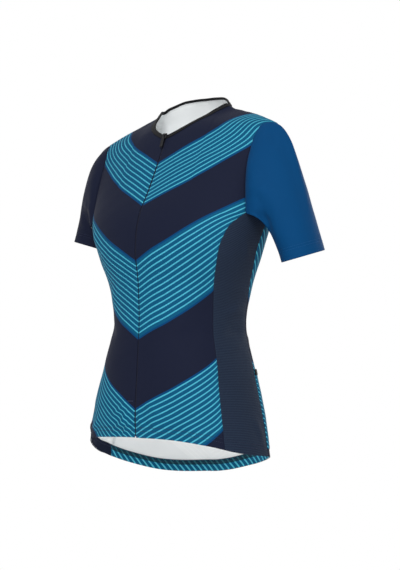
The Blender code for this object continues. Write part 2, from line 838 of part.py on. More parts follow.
def add_binding(left, right, back, mat, home):
    """Neck binding, open at the centre front."""
    stations = neck_stations(left, right, back)
    sections = [binding_section(s) for s in stations]
    sections[0] = shifted_end(sections[0], -BINDING_END)
    sections[-1] = shifted_end(sections[-1], BINDING_END)
    first_left = len(sections) - NECK_COLS - 2
    turned = {(i, 2) for i in range(first_left)} | {(i, 0) for i in range(first_left, len(sections))}
    points, faces = strip_mesh(sections, turned)
    size = len(sections[0])
    for base, order in ((0, 1), ((len(sections) - 1) * size, -1)):
        for cap in ((0, 1, 7, 8), (1, 2, 5, 7), (2, 3, 4, 5)):
            add_quads(faces, *[base + k for k in cap][::order])
        faces.append(tuple([base + 5, base + 6, base + 7][::order]))
    return add_object("neck_binding", points, faces, mat, home)


def shifted_end(section, x):
    """End section moved to stand clear of the middle line."""
    return [np.array([x, p[1], p[2]]) for p in section]


# ------------------------------------------------------------- the zip
def add_zip_tape(left, right, mat, home):
    """Closed zip's tape behind the two front edges."""
    rows = LOW_ROWS + ARM_ROWS
    sections = []
    for j in range(rows + 1):
        row = j
        if j == 0:
            row = 0.02
        if j == rows:
            row = rows - 1.1
        inner = []
        for cloth in (right, left):
            wide = np.linalg.norm(blend(cloth.outer, 1, row) - blend(cloth.outer, 0, row))
            inner.append((cloth, TAPE_HALF / wide))
        loop = [inner[0][0].inside(inner[0][1], row, TAPE_GAP), inner[0][0].inside(0.0, row, TAPE_GAP)]
        loop.append(inner[1][0].inside(inner[1][1], row, TAPE_GAP))
        loop.append(inner[1][0].inside(inner[1][1], row, TAPE_GAP + TAPE_WALL))
        loop.append(inner[0][0].inside(0.0, row, TAPE_GAP + TAPE_WALL))
        loop.append(inner[0][0].inside(inner[0][1], row, TAPE_GAP + TAPE_WALL))
        sections.append(loop)
    points, faces = strip_mesh(sections)
    size = 6
    for base, order in ((0, 1), (rows * size, -1)):
        for cap in ((0, 1, 4, 5), (1, 2, 3, 4)):
            add_quads(faces, *[base + k for k in cap][::order])
    return add_object("zip_tape", points, faces, mat, home)


def zip_frame(left):
    """Place of the slider: centre, outward, and down the front."""
    top = LOW_ROWS + ARM_ROWS
    edge = left.outer[0, top]
    down = unit(left.outer[0, top - 1] - edge)
    outward = unit(np.cross(np.array([1.0, 0.0, 0.0]), -down))
    if outward[1] > 0:
        outward = -outward
    lift = BINDING_GAP + BINDING_WALL + SEAM
    centre = edge + down * 0.0022 + outward * (lift + SLIDER_T / 2.0)
    return centre, outward, down


def frame_matrix(centre, outward, down):
    """Matrix with X across, Y outward and Z up the front."""
    up = -down
    across = np.cross(outward, up)
    rows = [[across[k], outward[k], up[k], centre[k]] for k in range(3)]
    return Matrix(rows + [[0.0, 0.0, 0.0, 1.0]])


def box_object(name, size, centre, mat, home, bevel):
    """Bevelled box in its own frame."""
    work = bmesh.new()
    bmesh.ops.create_cube(work, size=1.0)
    bmesh.ops.scale(work, vec=size, verts=work.verts)
    if bevel:
        bmesh.ops.bevel(work, geom=work.edges[:], offset=bevel, segments=2, profile=0.5, affect="EDGES")
    bmesh.ops.translate(work, vec=centre, verts=work.verts)
    return from_bmesh(name, work, mat, home)


def pin_object(name, radius, length, centre, mat, home):
    """Cylinder along X."""
    work = bmesh.new()
    turn = Matrix.Rotation(math.pi / 2.0, 4, "Y")
    bmesh.ops.create_cone(work, cap_ends=True, segments=20, radius1=radius, radius2=radius,
                          depth=length, matrix=Matrix.Translation(centre) @ turn)
    return from_bmesh(name, work, mat, home)


def from_bmesh(name, work, mat, home):
    """Object from a bmesh."""
    mesh = bpy.data.meshes.new(name)
    work.to_mesh(mesh)
    work.free()
    mesh.materials.append(mat)
    obj = bpy.data.objects.new(name, mesh)
    home.objects.link(obj)
    return obj


def combine(target, tool, operation):
    """Exact boolean kept as a modifier."""
    step = target.modifiers.new(tool.name, "BOOLEAN")
    step.operation = operation
    step.solver = "EXACT"
    step.object = tool
    tool.hide_render = True
    tool.display_type = "WIRE"


def pin_place():
    """Centre of the hinge pin in the slider's frame."""
    return (0.0, SLIDER_T / 2.0 + HEAD_R + PIN_GAP, 0.0012)


def add_slider(frame, mat, home, tools):
    """Slider body with two lugs and the pin the pull hangs on."""
    pin = pin_place()
    slider = box_object("zip_slider", (SLIDER_W, SLIDER_T, SLIDER_H), (0, 0, 0), mat, home, 0.0007)
    reach = HEAD_W / 2.0 + 0.0002 + LUG_T / 2.0
    lug_out = pin[1] + PIN_R + 0.0005
    lug_in = SLIDER_T / 2.0 - 0.0008
    for side, name in ((1, "lug_left"), (-1, "lug_right")):
        size = (LUG_T, lug_out - lug_in, 0.0030)
        place = (side * reach, (lug_out + lug_in) / 2.0, pin[2])
        combine(slider, place_tool(box_object(name, size, place, mat, tools, 0.0002), frame), "UNION")
    bar = pin_object("pin", PIN_R, 2.0 * reach, pin, mat, tools)
    combine(slider, place_tool(bar, frame), "UNION")
    slider.matrix_world = frame
    return slider


def place_tool(tool, frame):
    """Put a cutter in the zip's frame."""
    tool.matrix_world = frame
    return tool


def add_pull(frame, lay, mat, home, tools):
    """Pull tab hanging on the pin; lay is its lean towards the cloth in radians."""
    pin = pin_place()
    own = frame @ Matrix.Translation(pin) @ Matrix.Rotation(-lay, 4, "X")
    pull = box_object("zip_pull", (PULL_W, PULL_T, PULL_LEN - 0.0040), (0, 0, -PULL_LEN / 2.0 - 0.0008),
                      mat, home, 0.0006)
    neck = box_object("pull_neck", (HEAD_W, PULL_T * 0.9, 0.0054), (0, 0, -0.0030), mat, tools, 0.0)
    combine(pull, place_tool(neck, own), "UNION")
    head = pin_object("pull_head", HEAD_R, HEAD_W, (0, 0, 0), mat, tools)
    combine(pull, place_tool(head, own), "UNION")
    eye = pin_object("pull_eye", EYE_R, 2.0 * HEAD_W, (0, 0, 0), mat, tools)
    combine(pull, place_tool(eye, own), "DIFFERENCE")
    pull.matrix_world = own
    return pull


# ------------------------------------------------------------- the build
def clear_scene():
    """Remove what is already in the scene."""
    for obj in list(bpy.data.objects):
        bpy.data.objects.remove(obj, do_unlink=True)


def new_collection(name):
    """Collection linked to the scene."""
    home = bpy.data.collections.new(name)
    bpy.context.scene.collection.children.link(home)
    return home


def build_zip(left, right, mats, home, tools):
    """Tape, slider and pull."""
    add_zip_tape(left, right, mats["zip_tape"], home)
    centre, outward, down = zip_frame(left)
    frame = frame_matrix(centre, outward, down)
    add_slider(frame, mats["slider"], home, tools)
    add_pull(frame, pull_lay(left, centre, outward, down), mats["pull"], home, tools)


def pull_lay(left, centre, outward, down):
    """Lean that lets the hanging pull rest just off the cloth."""
    pin = centre + outward * pin_place()[1] - down * pin_place()[2]
    top = LOW_ROWS + ARM_ROWS
    room = HEAD_R + PIN_GAP - PULL_T / 2.0 - 0.0002
    limit = math.atan2(room, SLIDER_H / 2.0 + pin_place()[2])
    best = 0.0
    for lean in np.linspace(0.0, limit, 30):
        along = down * math.cos(lean) - outward * math.sin(lean)
        foot = pin + along * PULL_LEN
        gap = 1.0
        for k in range(0, 70):
            row = top - 0.08 * k
            cloth_point = blend(left.outer, 0, row)
            toward = unit(blend(left.outward, 0, row))
            for share in (0.5, 0.75, 1.0):
                near = pin + (foot - pin) * share
                if abs(near[2] - cloth_point[2]) < 0.0012:
                    gap = min(gap, float((near - cloth_point) @ toward))
        if gap < PULL_T / 2.0 + 0.0006:
            break
        best = lean
    return best


def build_materials():
    """One material per named finish."""
    return {
        "front_left": material("front_print", (0.02, 0.09, 0.17), 0.75),
        "front_right": material("front_print_right", (0.02, 0.09, 0.17), 0.75),
        "back": material("back_print", (0.02, 0.09, 0.17), 0.75),
        "side_left": material("side_mesh", (0.016, 0.017, 0.045), 0.8),
        "side_right": material("side_mesh_right", (0.016, 0.017, 0.045), 0.8),
        "sleeve_left": material("sleeve_blue", (0.004, 0.066, 0.2), 0.7),
        "sleeve_right": material("sleeve_navy", (0.016, 0.017, 0.045), 0.7),
        "binding": material("neck_elastic", (0.006, 0.006, 0.007), 0.8),
        "zip_tape": material("zip_tape", (0.014, 0.015, 0.035), 0.8),
        "slider": material("slider_enamel", (0.01, 0.01, 0.012), 0.4),
        "pull": material("pull_rubber", (0.01, 0.01, 0.012), 0.55),
        "pocket": material("pocket_print", (0.03, 0.22, 0.3), 0.75),
        "pocket_binding": material("pocket_elastic", (0.006, 0.006, 0.007), 0.8),
        "facing": material("facing_print", (0.03, 0.22, 0.3), 0.75),
    }


def build():
    """The whole top."""
    clear_scene()
    home = new_collection(BODY_COLLECTION)
    tools = new_collection(CUTTER_COLLECTION)
    mats = build_materials()
    left = front_cloth(1)
    right = front_cloth(-1)
    back = back_cloth()
    seams = {"left": HALF_SEAM, "right": HALF_SEAM, "top": HALF_SEAM}
    under_arm = {"left": HALF_SEAM, "right": HALF_SEAM, "top": ARM_SEAM}
    add_panel("front_left", left, seams, False, mats["front_left"], home)
    add_panel("front_right", right, seams, False, mats["front_right"], home)
    add_panel("back", back, seams, False, mats["back"], home)
    sides = {hand: side_cloth(hand) for hand in (1, -1)}
    for hand, side in ((1, "left"), (-1, "right")):
        add_panel("side_" + side, sides[hand], under_arm, False, mats["side_" + side], home)
        add_panel("sleeve_" + side, sleeve_cloth(hand), {"foot": ARM_SEAM}, True,
                  mats["sleeve_" + side], home)
    add_binding(left, right, back, mats["binding"], home)
    add_pocket(back, mats["pocket"], home)
    add_pocket_binding(back, mats["pocket_binding"], home)
    add_facing(hem_cloth(sides[1], back, sides[-1]), mats["facing"], home)
    build_zip(left, right, mats, home, tools)


build()
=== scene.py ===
"""A women's short-sleeved triathlon top, empty and open, standing as worn.

Metres, +Z up. The front faces -Y and the wearer's left is +X. Every cloth piece is a thin
shell on one smooth figure-shaped surface, where a place is (angle, height): the angle in
degrees round the ring, 0 at the centre front and 180 at the centre back, and the height
above the underarm.
"""
import json
import logging
import math
from dataclasses import dataclass, field
from enum import Enum
from typing import Iterable, Sequence

import bmesh
import bpy
import numpy as np
from mathutils import Matrix, Vector


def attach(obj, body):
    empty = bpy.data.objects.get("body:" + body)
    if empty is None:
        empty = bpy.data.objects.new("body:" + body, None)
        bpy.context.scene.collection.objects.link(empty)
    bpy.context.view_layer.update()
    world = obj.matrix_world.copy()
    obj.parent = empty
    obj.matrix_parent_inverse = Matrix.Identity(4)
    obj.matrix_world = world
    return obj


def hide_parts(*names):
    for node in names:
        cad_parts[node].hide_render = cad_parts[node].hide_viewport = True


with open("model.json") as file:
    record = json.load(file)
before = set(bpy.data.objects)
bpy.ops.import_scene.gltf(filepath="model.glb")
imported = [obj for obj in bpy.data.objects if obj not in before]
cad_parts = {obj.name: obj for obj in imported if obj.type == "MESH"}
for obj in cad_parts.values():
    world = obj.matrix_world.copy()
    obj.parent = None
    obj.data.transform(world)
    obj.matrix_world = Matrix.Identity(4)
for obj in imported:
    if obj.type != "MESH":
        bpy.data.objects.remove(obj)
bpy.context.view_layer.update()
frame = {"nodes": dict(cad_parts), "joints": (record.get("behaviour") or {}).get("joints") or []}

LOG = logging.getLogger("triathlon_top")
Table = tuple[tuple[float, ...], ...]
Colour = tuple[float, float, float]
Grid = tuple[np.ndarray, np.ndarray]
Spot = tuple[float, float, float]


class Side(Enum):
    """Which side of the wearer a piece is on; the value is the sign of X."""

    LEFT = 1
    RIGHT = -1


class Face(Enum):
    """Material places of a cloth shell."""

    OUTSIDE = 0
    REVERSE = 1


# ------------------------------------------------------------------ arithmetic
def smooth(xs: Sequence[float], ys: Sequence[float], x: np.ndarray) -> np.ndarray:
    """Cubic through a short table, flat beyond its ends.

    Args:
        xs: Rising places of the table.
        ys: Values at those places.
        x: Where the curve is read.

    Returns:
        The curve's values at x.
    """
    xs = np.asarray(xs, float)
    ys = np.asarray(ys, float)
    x = np.clip(np.asarray(x, float), xs[0], xs[-1])
    step = np.diff(xs)
    rate = np.diff(ys) / step
    slope = np.empty_like(ys)
    slope[0] = rate[0]
    slope[-1] = rate[-1]
    slope[1:-1] = (rate[:-1] * step[1:] + rate[1:] * step[:-1]) / (step[1:] + step[:-1])
    k = np.clip(np.searchsorted(xs, x, side="right") - 1, 0, len(xs) - 2)
    t = (x - xs[k]) / step[k]
    rise = ys[k] * (1 + 2 * t) * (1 - t) ** 2 + ys[k + 1] * t * t * (3 - 2 * t)
    return rise + step[k] * (slope[k] * t * (1 - t) ** 2 - slope[k + 1] * t * t * (1 - t))


def column(table: Table, index: int) -> np.ndarray:
    """One column of a table as an array."""
    return np.array([row[index] for row in table], float)


def read_table(table: Table, x: np.ndarray, index: int = 1) -> np.ndarray:
    """Smooth curve of one column of a table over its first, read at x."""
    return smooth(column(table, 0), column(table, index), x)


def unit(v: np.ndarray) -> np.ndarray:
    """Vectors of length one."""
    return v / np.maximum(np.linalg.norm(v, axis=-1, keepdims=True), 1e-12)


def ease(x: np.ndarray, low: float, high: float) -> np.ndarray:
    """Smooth step from 0 at low to 1 at high."""
    t = np.clip((x - low) / (high - low), 0.0, 1.0)
    return t * t * (3 - 2 * t)


def run_length(points: np.ndarray, axis: int) -> np.ndarray:
    """Distance walked along one axis of a grid of points, from its start.

    Args:
        points: Grid of places, its last axis the coordinates.
        axis: The axis that is walked along.

    Returns:
        The distances, without the coordinate axis.
    """
    step = np.linalg.norm(np.diff(points, axis=axis), axis=-1)
    pad = [(0, 0)] * step.ndim
    pad[axis] = (1, 0)
    return np.pad(np.cumsum(step, axis=axis), pad)


def grid_normals(points: np.ndarray) -> np.ndarray:
    """Outward directions of a grid whose columns run round a sleeve, the last joining the first."""
    around = np.roll(points, -1, axis=0) - np.roll(points, 1, axis=0)
    return unit(np.cross(around, np.gradient(points, axis=1)))


# ------------------------------------------------------------------ the figure
@dataclass(frozen=True)
class Figure:
    """The smooth surface that the panels are cut from.

    Levels are height, half width, front depth, back depth and the axis's Y. The ridge is the
    shoulder line as X and Z, and neck_point is its row where the shoulder seam starts. The hem
    is angle, height, and the worn tilt to the left.
    """

    underarm: float = -0.205
    rise: float = 0.200
    cap_start: float = 0.20
    power: float = 2.25
    levels: Table = (
        (-0.620, 0.176, 0.100, 0.101, -0.001),
        (-0.520, 0.157, 0.109, 0.098, -0.002),
        (-0.440, 0.133, 0.113, 0.089, 0.003),
        (-0.370, 0.113, 0.116, 0.078, 0.007),
        (-0.310, 0.124, 0.116, 0.084, 0.002),
        (-0.255, 0.149, 0.115, 0.091, -0.009),
        (-0.205, 0.168, 0.105, 0.097, -0.014),
        (-0.150, 0.177, 0.0834, 0.099, -0.010),
        (-0.100, 0.187, 0.065, 0.095, -0.008),
        (-0.050, 0.201, 0.051, 0.084, -0.004),
        (0.000, 0.187, 0.039, 0.0644, 0.0216),
        (0.040, 0.187, 0.032, 0.0656, 0.006),
    )
    ridge: Table = (
        (0.000, 0.080), (0.040, 0.055), (0.0706, 0.0067), (0.101, -0.0098), (0.131, -0.0247),
        (0.160, -0.0387), (0.185, -0.053),
    )
    neck_point: int = 2
    hem: Table = (
        (-20.0, -0.552, -0.004), (0.0, -0.550, 0.000), (20.0, -0.552, 0.005), (45.0, -0.560, 0.008),
        (65.0, -0.572, 0.011), (90.0, -0.589, 0.019), (120.0, -0.607, 0.024), (150.0, -0.624, 0.018),
        (180.0, -0.632, 0.000), (210.0, -0.624, -0.018),
    )

    def level(self, index: int, z: np.ndarray) -> np.ndarray:
        """One column of the levels, read at height z."""
        return read_table(self.levels, z, index)

    def ridge_angles(self) -> np.ndarray:
        """Ring angle of each row of the ridge."""
        share = column(self.ridge, 0) / self.level(1, column(self.ridge, 1))
        return np.degrees(np.arcsin(share ** (self.power / 2.0)))

    def ridge_height(self, angle: np.ndarray) -> np.ndarray:
        """Height of the shoulder line at a ring angle."""
        a = np.abs(np.asarray(angle, float))
        folded = np.where(a > 90.0, 180.0 - a, a)
        return smooth(self.ridge_angles(), column(self.ridge, 1), folded)

    def scale_height(self, angle: np.ndarray, z: np.ndarray) -> np.ndarray:
        """Height on the underarm-to-shoulder scale of a true height above the underarm."""
        share = (np.asarray(z, float) - self.underarm) / (self.ridge_height(angle) - self.underarm)
        return self.rise * np.arcsin(np.clip(share, 0.0, 1.0)) / (math.pi / 2.0)

    def surface(self, angle: np.ndarray, height: np.ndarray) -> np.ndarray:
        """Places on the outside of the cloth.

        Args:
            angle: Degrees round the ring.
            height: Above the underarm, on the shoulder scale where it is positive.

        Returns:
            Points, with a last axis of three.
        """
        angle, height = np.broadcast_arrays(np.asarray(angle, float), np.asarray(height, float))
        share = np.sin(np.clip(height / self.rise, 0.0, 1.0) * math.pi / 2.0)
        top = self.underarm + share * (self.ridge_height(angle) - self.underarm)
        z = np.where(height <= 0.0, self.underarm + height, top)
        closing = np.clip((share - self.cap_start) / (1.0 - self.cap_start), 0.0, 1.0)
        cap = np.sqrt(np.clip(1.0 - closing ** 2, 0.0, 1.0))
        sine = np.sin(np.radians(angle))
        cosine = np.cos(np.radians(angle))
        x = self.level(1, z) * np.sign(sine) * np.abs(sine) ** (2.0 / self.power)
        reach = np.abs(cosine) ** (2.0 / self.power) * cap
        y = self.level(4, z) + np.where(cosine > 0.0, -self.level(2, z), self.level(3, z)) * reach
        return np.stack([x, y, z], axis=-1)

    def outward(self, angle: np.ndarray, height: np.ndarray) -> np.ndarray:
        """Outward directions of the surface."""
        angle, height = np.broadcast_arrays(np.asarray(angle, float), np.asarray(height, float))
        top = np.minimum(height + 0.002, self.rise)
        along = self.surface(angle + 1.0, height) - self.surface(angle - 1.0, height)
        up = self.surface(angle, top) - self.surface(angle, top - 0.004)
        return unit(np.cross(along, up))

    def hem_height(self, angle: np.ndarray) -> np.ndarray:
        """Height of the hem above the underarm at a signed ring angle."""
        turn = np.abs(angle)
        lift = read_table(self.hem, turn, 2) * np.sign(angle)
        return read_table(self.hem, turn) + lift - self.underarm


@dataclass(frozen=True)
class Arm:
    """How one arm hangs, given as for the left side: its cuff, and the sleeve's run to it."""

    cuff_centre: Spot
    out: float
    back: float
    cuff_across: float
    cuff_depth: float
    head_slope: float
    head_pull: float
    cuff_pull: float


@dataclass(frozen=True)
class Cutting:
    """Where the surface is cut into panels, and the sleeves that leave it.

    Columns run from the centre line to the side, with the neck point at neck_cols, and rows
    from the hem up, with the underarm at low_rows. Both may be fractions. Seam tables are
    height and angle; armholes are share, angle and height; necklines are share, angle and
    height above the origin.
    """

    figure: Figure = field(default_factory=Figure)
    low_rows: int = 11
    arm_rows: int = 11
    neck_cols: int = 6
    shoulder_cols: int = 5
    side_cols: int = 6
    edge_drop: float = 0.0072
    front_seam: Table = (
        (-0.575, 56.5), (-0.470, 59.5), (-0.400, 63.0), (-0.360, 63.5),
        (-0.285, 58.5), (-0.235, 57.5), (-0.215, 60.5), (-0.198, 69.5),
    )
    back_seam: Table = (
        (-0.590, 101.5), (-0.480, 104.0), (-0.370, 106.5), (-0.325, 103.5),
        (-0.295, 99.0), (-0.253, 92.5), (-0.2095, 94.0),
    )
    front_armhole: Table = (
        (0.00, 69.5, 0.006), (0.06, 68.1, 0.0127), (0.26, 60.9, 0.046), (0.40, 56.9, 0.068),
        (0.55, 54.2, 0.091), (0.70, 51.8, 0.118), (0.86, 53.5, 0.156), (1.00, math.nan, 0.200),
    )
    back_armhole: Table = (
        (0.00, 94.0, -0.0045), (0.10, 103.0, -0.002), (0.20, 110.0, 0.0115), (0.33, 116.0, 0.036),
        (0.46, 120.0, 0.062), (0.60, 123.0, 0.090), (0.74, 124.5, 0.120), (0.88, 123.5, 0.156),
        (1.00, math.nan, 0.200),
    )
    side_top: Table = ((69.5, 0.006), (80.0, 0.0035), (88.0, -0.0006), (94.0, -0.0045))
    front_neck: Table = (
        (0.00, 0.0, -0.0603), (0.18, 4.2, -0.0518), (0.41, 9.6, -0.0375),
        (0.61, 13.3, -0.0232), (0.77, 15.4, -0.0103), (1.00, math.nan, 0.0067),
    )
    back_neck: Table = (
        (0.00, 180.0, 0.0258), (0.30, 174.0, 0.0252), (0.64, 167.2, 0.0218),
        (0.84, 162.9, 0.0145), (1.00, math.nan, 0.0067),
    )
    blend: tuple[float, float] = (0.36, 0.64)
    foot_pull: float = 1.25
    foot_spread: float = 5.0
    foot_rise: float = 0.35
    arms: dict[Side, Arm] = field(default_factory=lambda: {
        Side.LEFT: Arm((0.2270, 0.0075, -0.2599), 13.1, 12.7, 0.0318, 0.0432, 35.1, 0.570, 1.764),
        Side.RIGHT: Arm((0.2232, 0.0127, -0.2326), 13.6, -6.4, 0.0360, 0.0434, 22.1, 0.922, 1.268),
    })

    @property
    def cols(self) -> int:
        """Last column of a half panel."""
        return self.neck_cols + self.shoulder_cols

    @property
    def rows(self) -> int:
        """Last row of a half panel."""
        return self.low_rows + self.arm_rows

    @property
    def arm_steps(self) -> int:
        """Steps round an armhole: down the front, under the arm and up the back."""
        return 2 * self.arm_rows + self.side_cols

    def neck(self, back: bool, at: np.ndarray) -> Grid:
        """Angle and height of the neckline at columns from the centre."""
        table = self.back_neck if back else self.front_neck
        side = float(self.figure.ridge_angles()[self.figure.neck_point])
        angles = column(table, 1)
        angles[-1] = 180.0 - side if back else side
        share = np.asarray(at, float) / self.neck_cols
        angle = smooth(column(table, 0), angles, share)
        height = self.figure.scale_height(angle, read_table(table, share, 2))
        return angle, np.where(share >= 1.0, self.figure.rise, height)

    def top(self, back: bool, at: np.ndarray) -> Grid:
        """Angle and height of the neckline, then the shoulder seam, at columns."""
        at = np.asarray(at, float)
        across = column(self.figure.ridge, 0)
        start = across[self.figure.neck_point]
        neck_angle, neck_height = self.neck(back, np.minimum(at, self.neck_cols))
        share = np.clip((at - self.neck_cols) / self.shoulder_cols, 0.0, 1.0)
        angle = smooth(across, self.figure.ridge_angles(), start + (across[-1] - start) * share)
        angle = 180.0 - angle if back else angle
        on_neck = at < self.neck_cols
        rise = np.full(len(at), self.figure.rise)
        return np.where(on_neck, neck_angle, angle), np.where(on_neck, neck_height, rise)

    def side(self, back: bool, hand: int, at: np.ndarray) -> Grid:
        """Angle and height of the long seam, then the armhole, at rows."""
        at = np.asarray(at, float)
        seam = self.back_seam if back else self.front_seam
        armhole = self.back_armhole if back else self.front_armhole
        foot = float(self.figure.hem_height(hand * column(seam, 1)[0]))
        share = np.clip(at / self.low_rows, 0.0, 1.0)
        low = foot + (armhole[0][2] - foot) * share
        low_angle = read_table(seam, self.figure.underarm + low)
        tip = float(self.figure.ridge_angles()[-1])
        angles = column(armhole, 1)
        angles[-1] = 180.0 - tip if back else tip
        marks = np.append(np.linspace(0.0, 0.96, self.arm_rows), 1.0)
        up_share = np.interp(at - self.low_rows, np.arange(self.arm_rows + 1), marks)
        up = read_table(armhole, up_share, 2)
        up_angle = smooth(column(armhole, 0), angles, up_share)
        below = at < self.low_rows
        return np.where(below, low_angle, up_angle), np.where(below, low, up)

    def half_panel(self, back: bool, hand: int, cols: np.ndarray, rows: np.ndarray) -> Grid:
        """Angles and heights of a front, or of half the back.

        Args:
            back: True for the back.
            hand: 1 on the left, -1 on the right; the angles stay positive.
            cols: Columns, from the centre line to the side.
            rows: Rows, from the hem up.

        Returns:
            The grids of angles and heights.
        """
        figure = self.figure
        centre = 180.0 if back else 0.0
        top = np.array(self.top(back, cols))
        side = np.array(self.side(back, hand, rows))
        u = (cols / self.cols)[:, None]
        v = (rows / self.rows)[None, :]
        foot_angle = centre + (side[0, 0] - centre) * u
        turn = side[0] - (1 - v) * side[0, 0] - v * side[0, -1]
        angle = (1 - v) * foot_angle + v * top[0][:, None] + u ** 3 * turn
        foot = figure.hem_height(hand * foot_angle)
        armpit = float(self.side(back, hand, np.array([self.low_rows]))[1][0])
        lower = foot + (armpit - foot) * np.clip(rows / self.low_rows, 0.0, 1.0)[None, :]
        share = np.clip((side[1] - armpit) / (figure.rise - armpit), 0.0, 1.0)
        far = armpit + (top[1][:, None] - armpit) * share[None, :]
        end = np.array(self.side(back, hand, np.array([self.rows - 1.0])))[1, 0]
        rise = np.sin(share * math.pi / 2.0)
        rise = rise / math.sin((end - armpit) / (figure.rise - armpit) * math.pi / 2.0)
        near = self.rows_by_neck(angle, armpit, top, np.minimum(rise, 1.0), rows)
        weight = ease(u, *self.blend)
        upper = (1 - weight) * near + weight * far
        height = np.where(rows[None, :] <= self.low_rows, lower, upper)
        height[:, -1] = top[1]
        height[-1] = side[1]
        return angle, height

    def rows_by_neck(self, angle: np.ndarray, armpit: float, top: np.ndarray, rise: np.ndarray,
                     rows: np.ndarray) -> np.ndarray:
        """Heights of the rows under the neckline, which keep to its fall.

        Args:
            angle: Grid of ring angles.
            armpit: Height at which the armhole starts.
            top: Angle and height of the top edge.
            rise: How far each row is from the armpit to the last row but one.
            rows: The rows.

        Returns:
            Grid of heights.
        """
        figure = self.figure
        low = figure.surface(angle[:, :1], np.full((len(angle), 1), armpit))[:, :, 2]
        high = figure.surface(top[0], top[1])[:, 2:3]
        last = np.clip(rows - (self.rows - 1), 0.0, 1.0)[None, :]
        z = low + rise[None, :] * (high - low - self.edge_drop) + last * self.edge_drop
        return np.where(z < figure.underarm, z - figure.underarm, figure.scale_height(angle, z))

    def side_panel(self, hand: int, cols: np.ndarray, rows: np.ndarray) -> Grid:
        """Angles and heights of a side panel, from the front seam to the back seam."""
        marks = np.concatenate([rows, [0.0, float(self.low_rows)]])
        front = np.array(self.side(False, hand, marks))
        back = np.array(self.side(True, hand, marks))
        u = (cols / self.side_cols)[:, None]
        v = (rows / self.low_rows)[None, :]
        angle = (1 - u) * front[0][None, :] + u * back[0][None, :]
        height = (1 - u) * front[1][None, :] + u * back[1][None, :]
        foot = self.figure.hem_height(hand * angle[:, -2:-1]) - height[:, -2:-1]
        top = read_table(self.side_top, angle[:, -1:]) - height[:, -1:]
        return angle[:, :-2], height[:, :-2] + (1 - v) * foot + v * top

    def armhole(self, at: np.ndarray) -> Grid:
        """Angle and height round the armhole: tip, front, underarm, back, by step numbers."""
        at = np.asarray(at, float)
        down = self.arm_rows
        under = down + self.side_cols
        front = self.side(False, 1, np.clip(self.rows - at, self.low_rows, self.rows))
        back = self.side(True, 1, np.clip(self.low_rows + at - under, self.low_rows, self.rows))
        across = np.clip(at - down, 0.0, self.side_cols)
        grid = self.side_panel(1, across, np.array([float(self.low_rows)]))
        pick = [at <= down, at < under]
        angle = np.select(pick, [front[0], grid[0][:, 0]], back[0])
        return angle, np.select(pick, [front[1], grid[1][:, 0]], back[1])

    def arm_axes(self, arm: Arm) -> tuple[np.ndarray, np.ndarray, np.ndarray]:
        """Arm direction, and the cuff's across and depth directions."""
        out = math.radians(arm.out)
        axis = unit(np.array([math.sin(out), math.sin(math.radians(arm.back)), -math.cos(out)]))
        across = unit(np.cross(np.array([0.0, 1.0, 0.0]), axis))
        across = across * np.sign(across[0])
        depth = unit(np.cross(across, axis))
        return axis, across, -depth * np.sign(depth[1])

    def sleeve(self, side: Side, around: int, down: np.ndarray) -> np.ndarray:
        """Outer places of a sleeve, as for the left: ring places by shares of the way down.

        Args:
            side: Whose arm it follows.
            around: Number of places round the sleeve.
            down: Shares of the way from the armhole, 0, to the cuff, 1.

        Returns:
            Grid of points.
        """
        angle, height = self.armhole(np.arange(around) * self.arm_steps / around)
        start = self.figure.surface(angle, height)
        rel = start - start.mean(axis=0)
        turn = np.unwrap(np.arctan2(-rel[:, 1], rel[:, 2]))
        even = np.linspace(0.0, 2.0 * math.pi, around, endpoint=False)
        beta = 0.5 * np.abs(turn - turn[0]) + 0.5 * even
        arm = self.arms[side]
        axis, across, depth = self.arm_axes(arm)
        ring = np.outer(np.cos(beta), across) * arm.cuff_across
        end = np.array(arm.cuff_centre) + ring + np.outer(np.sin(beta), depth) * arm.cuff_depth
        slope = math.radians(arm.head_slope)
        head = np.array([math.cos(slope), 0.0, -math.sin(slope)])
        under = (0.5 - 0.5 * np.cos(beta))[:, None]
        away = self.figure.outward(angle, height)
        lead = unit((1 - under) * head + under * (axis + self.foot_spread * away))
        chord = np.linalg.norm(end - start, axis=1)[:, None]
        first = lead * chord * ((1 - under) * arm.head_pull + under ** 2 * self.foot_pull)
        last = axis[None, :] * chord * arm.cuff_pull * (1.0 + self.foot_rise * under ** 2)
        made = []
        for t in down:
            point = (1 + 2 * t) * (1 - t) ** 2 * start + t * t * (3 - 2 * t) * end
            made.append(point + t * (1 - t) ** 2 * first - t * t * (1 - t) * last)
        return np.stack(made, axis=1)


# ------------------------------------------------------------------ creases
@dataclass(frozen=True)
class Fold:
    """A soft crease between two places: a ridge where its height is positive.

    Places are (angle, height) on the body and (ring step, share of the way down) on a sleeve.
    """

    start: tuple[float, float]
    end: tuple[float, float]
    width: float
    height: float
    bow: float
    phase: float

    def lift(self, points: np.ndarray, ends: np.ndarray, away: np.ndarray) -> np.ndarray:
        """Lift of the cloth at points.

        Args:
            points: Places of the cloth, last axis three.
            ends: The crease's two ends in space.
            away: Outward direction at its middle.

        Returns:
            Lifts in metres, one per point.
        """
        along = unit(ends[1] - ends[0])
        length = float(np.linalg.norm(ends[1] - ends[0]))
        across = unit(np.cross(away, along))
        rel = points - ends.mean(axis=0)
        t = np.clip(2.0 * (rel @ along) / length, -1.0, 1.0)
        near = np.abs(rel @ away) < 0.5 * length + 0.03
        wave = 0.35 * np.sin(3.1 * t + self.phase) + 0.18 * np.sin(7.3 * t + 2.0 * self.phase)
        width = self.width * (1.0 + 0.22 * np.sin(2.3 * t + 1.7 * self.phase))
        s = (rel @ across - self.bow * (1.0 - t * t) - 0.35 * self.width * wave) / width
        taper = (1.0 - t * t) ** 2 * (1.0 + 0.3 * wave)
        return np.where(near, self.height * taper * (1.0 - 0.4 * s * s) * np.exp(-0.5 * s * s), 0.0)


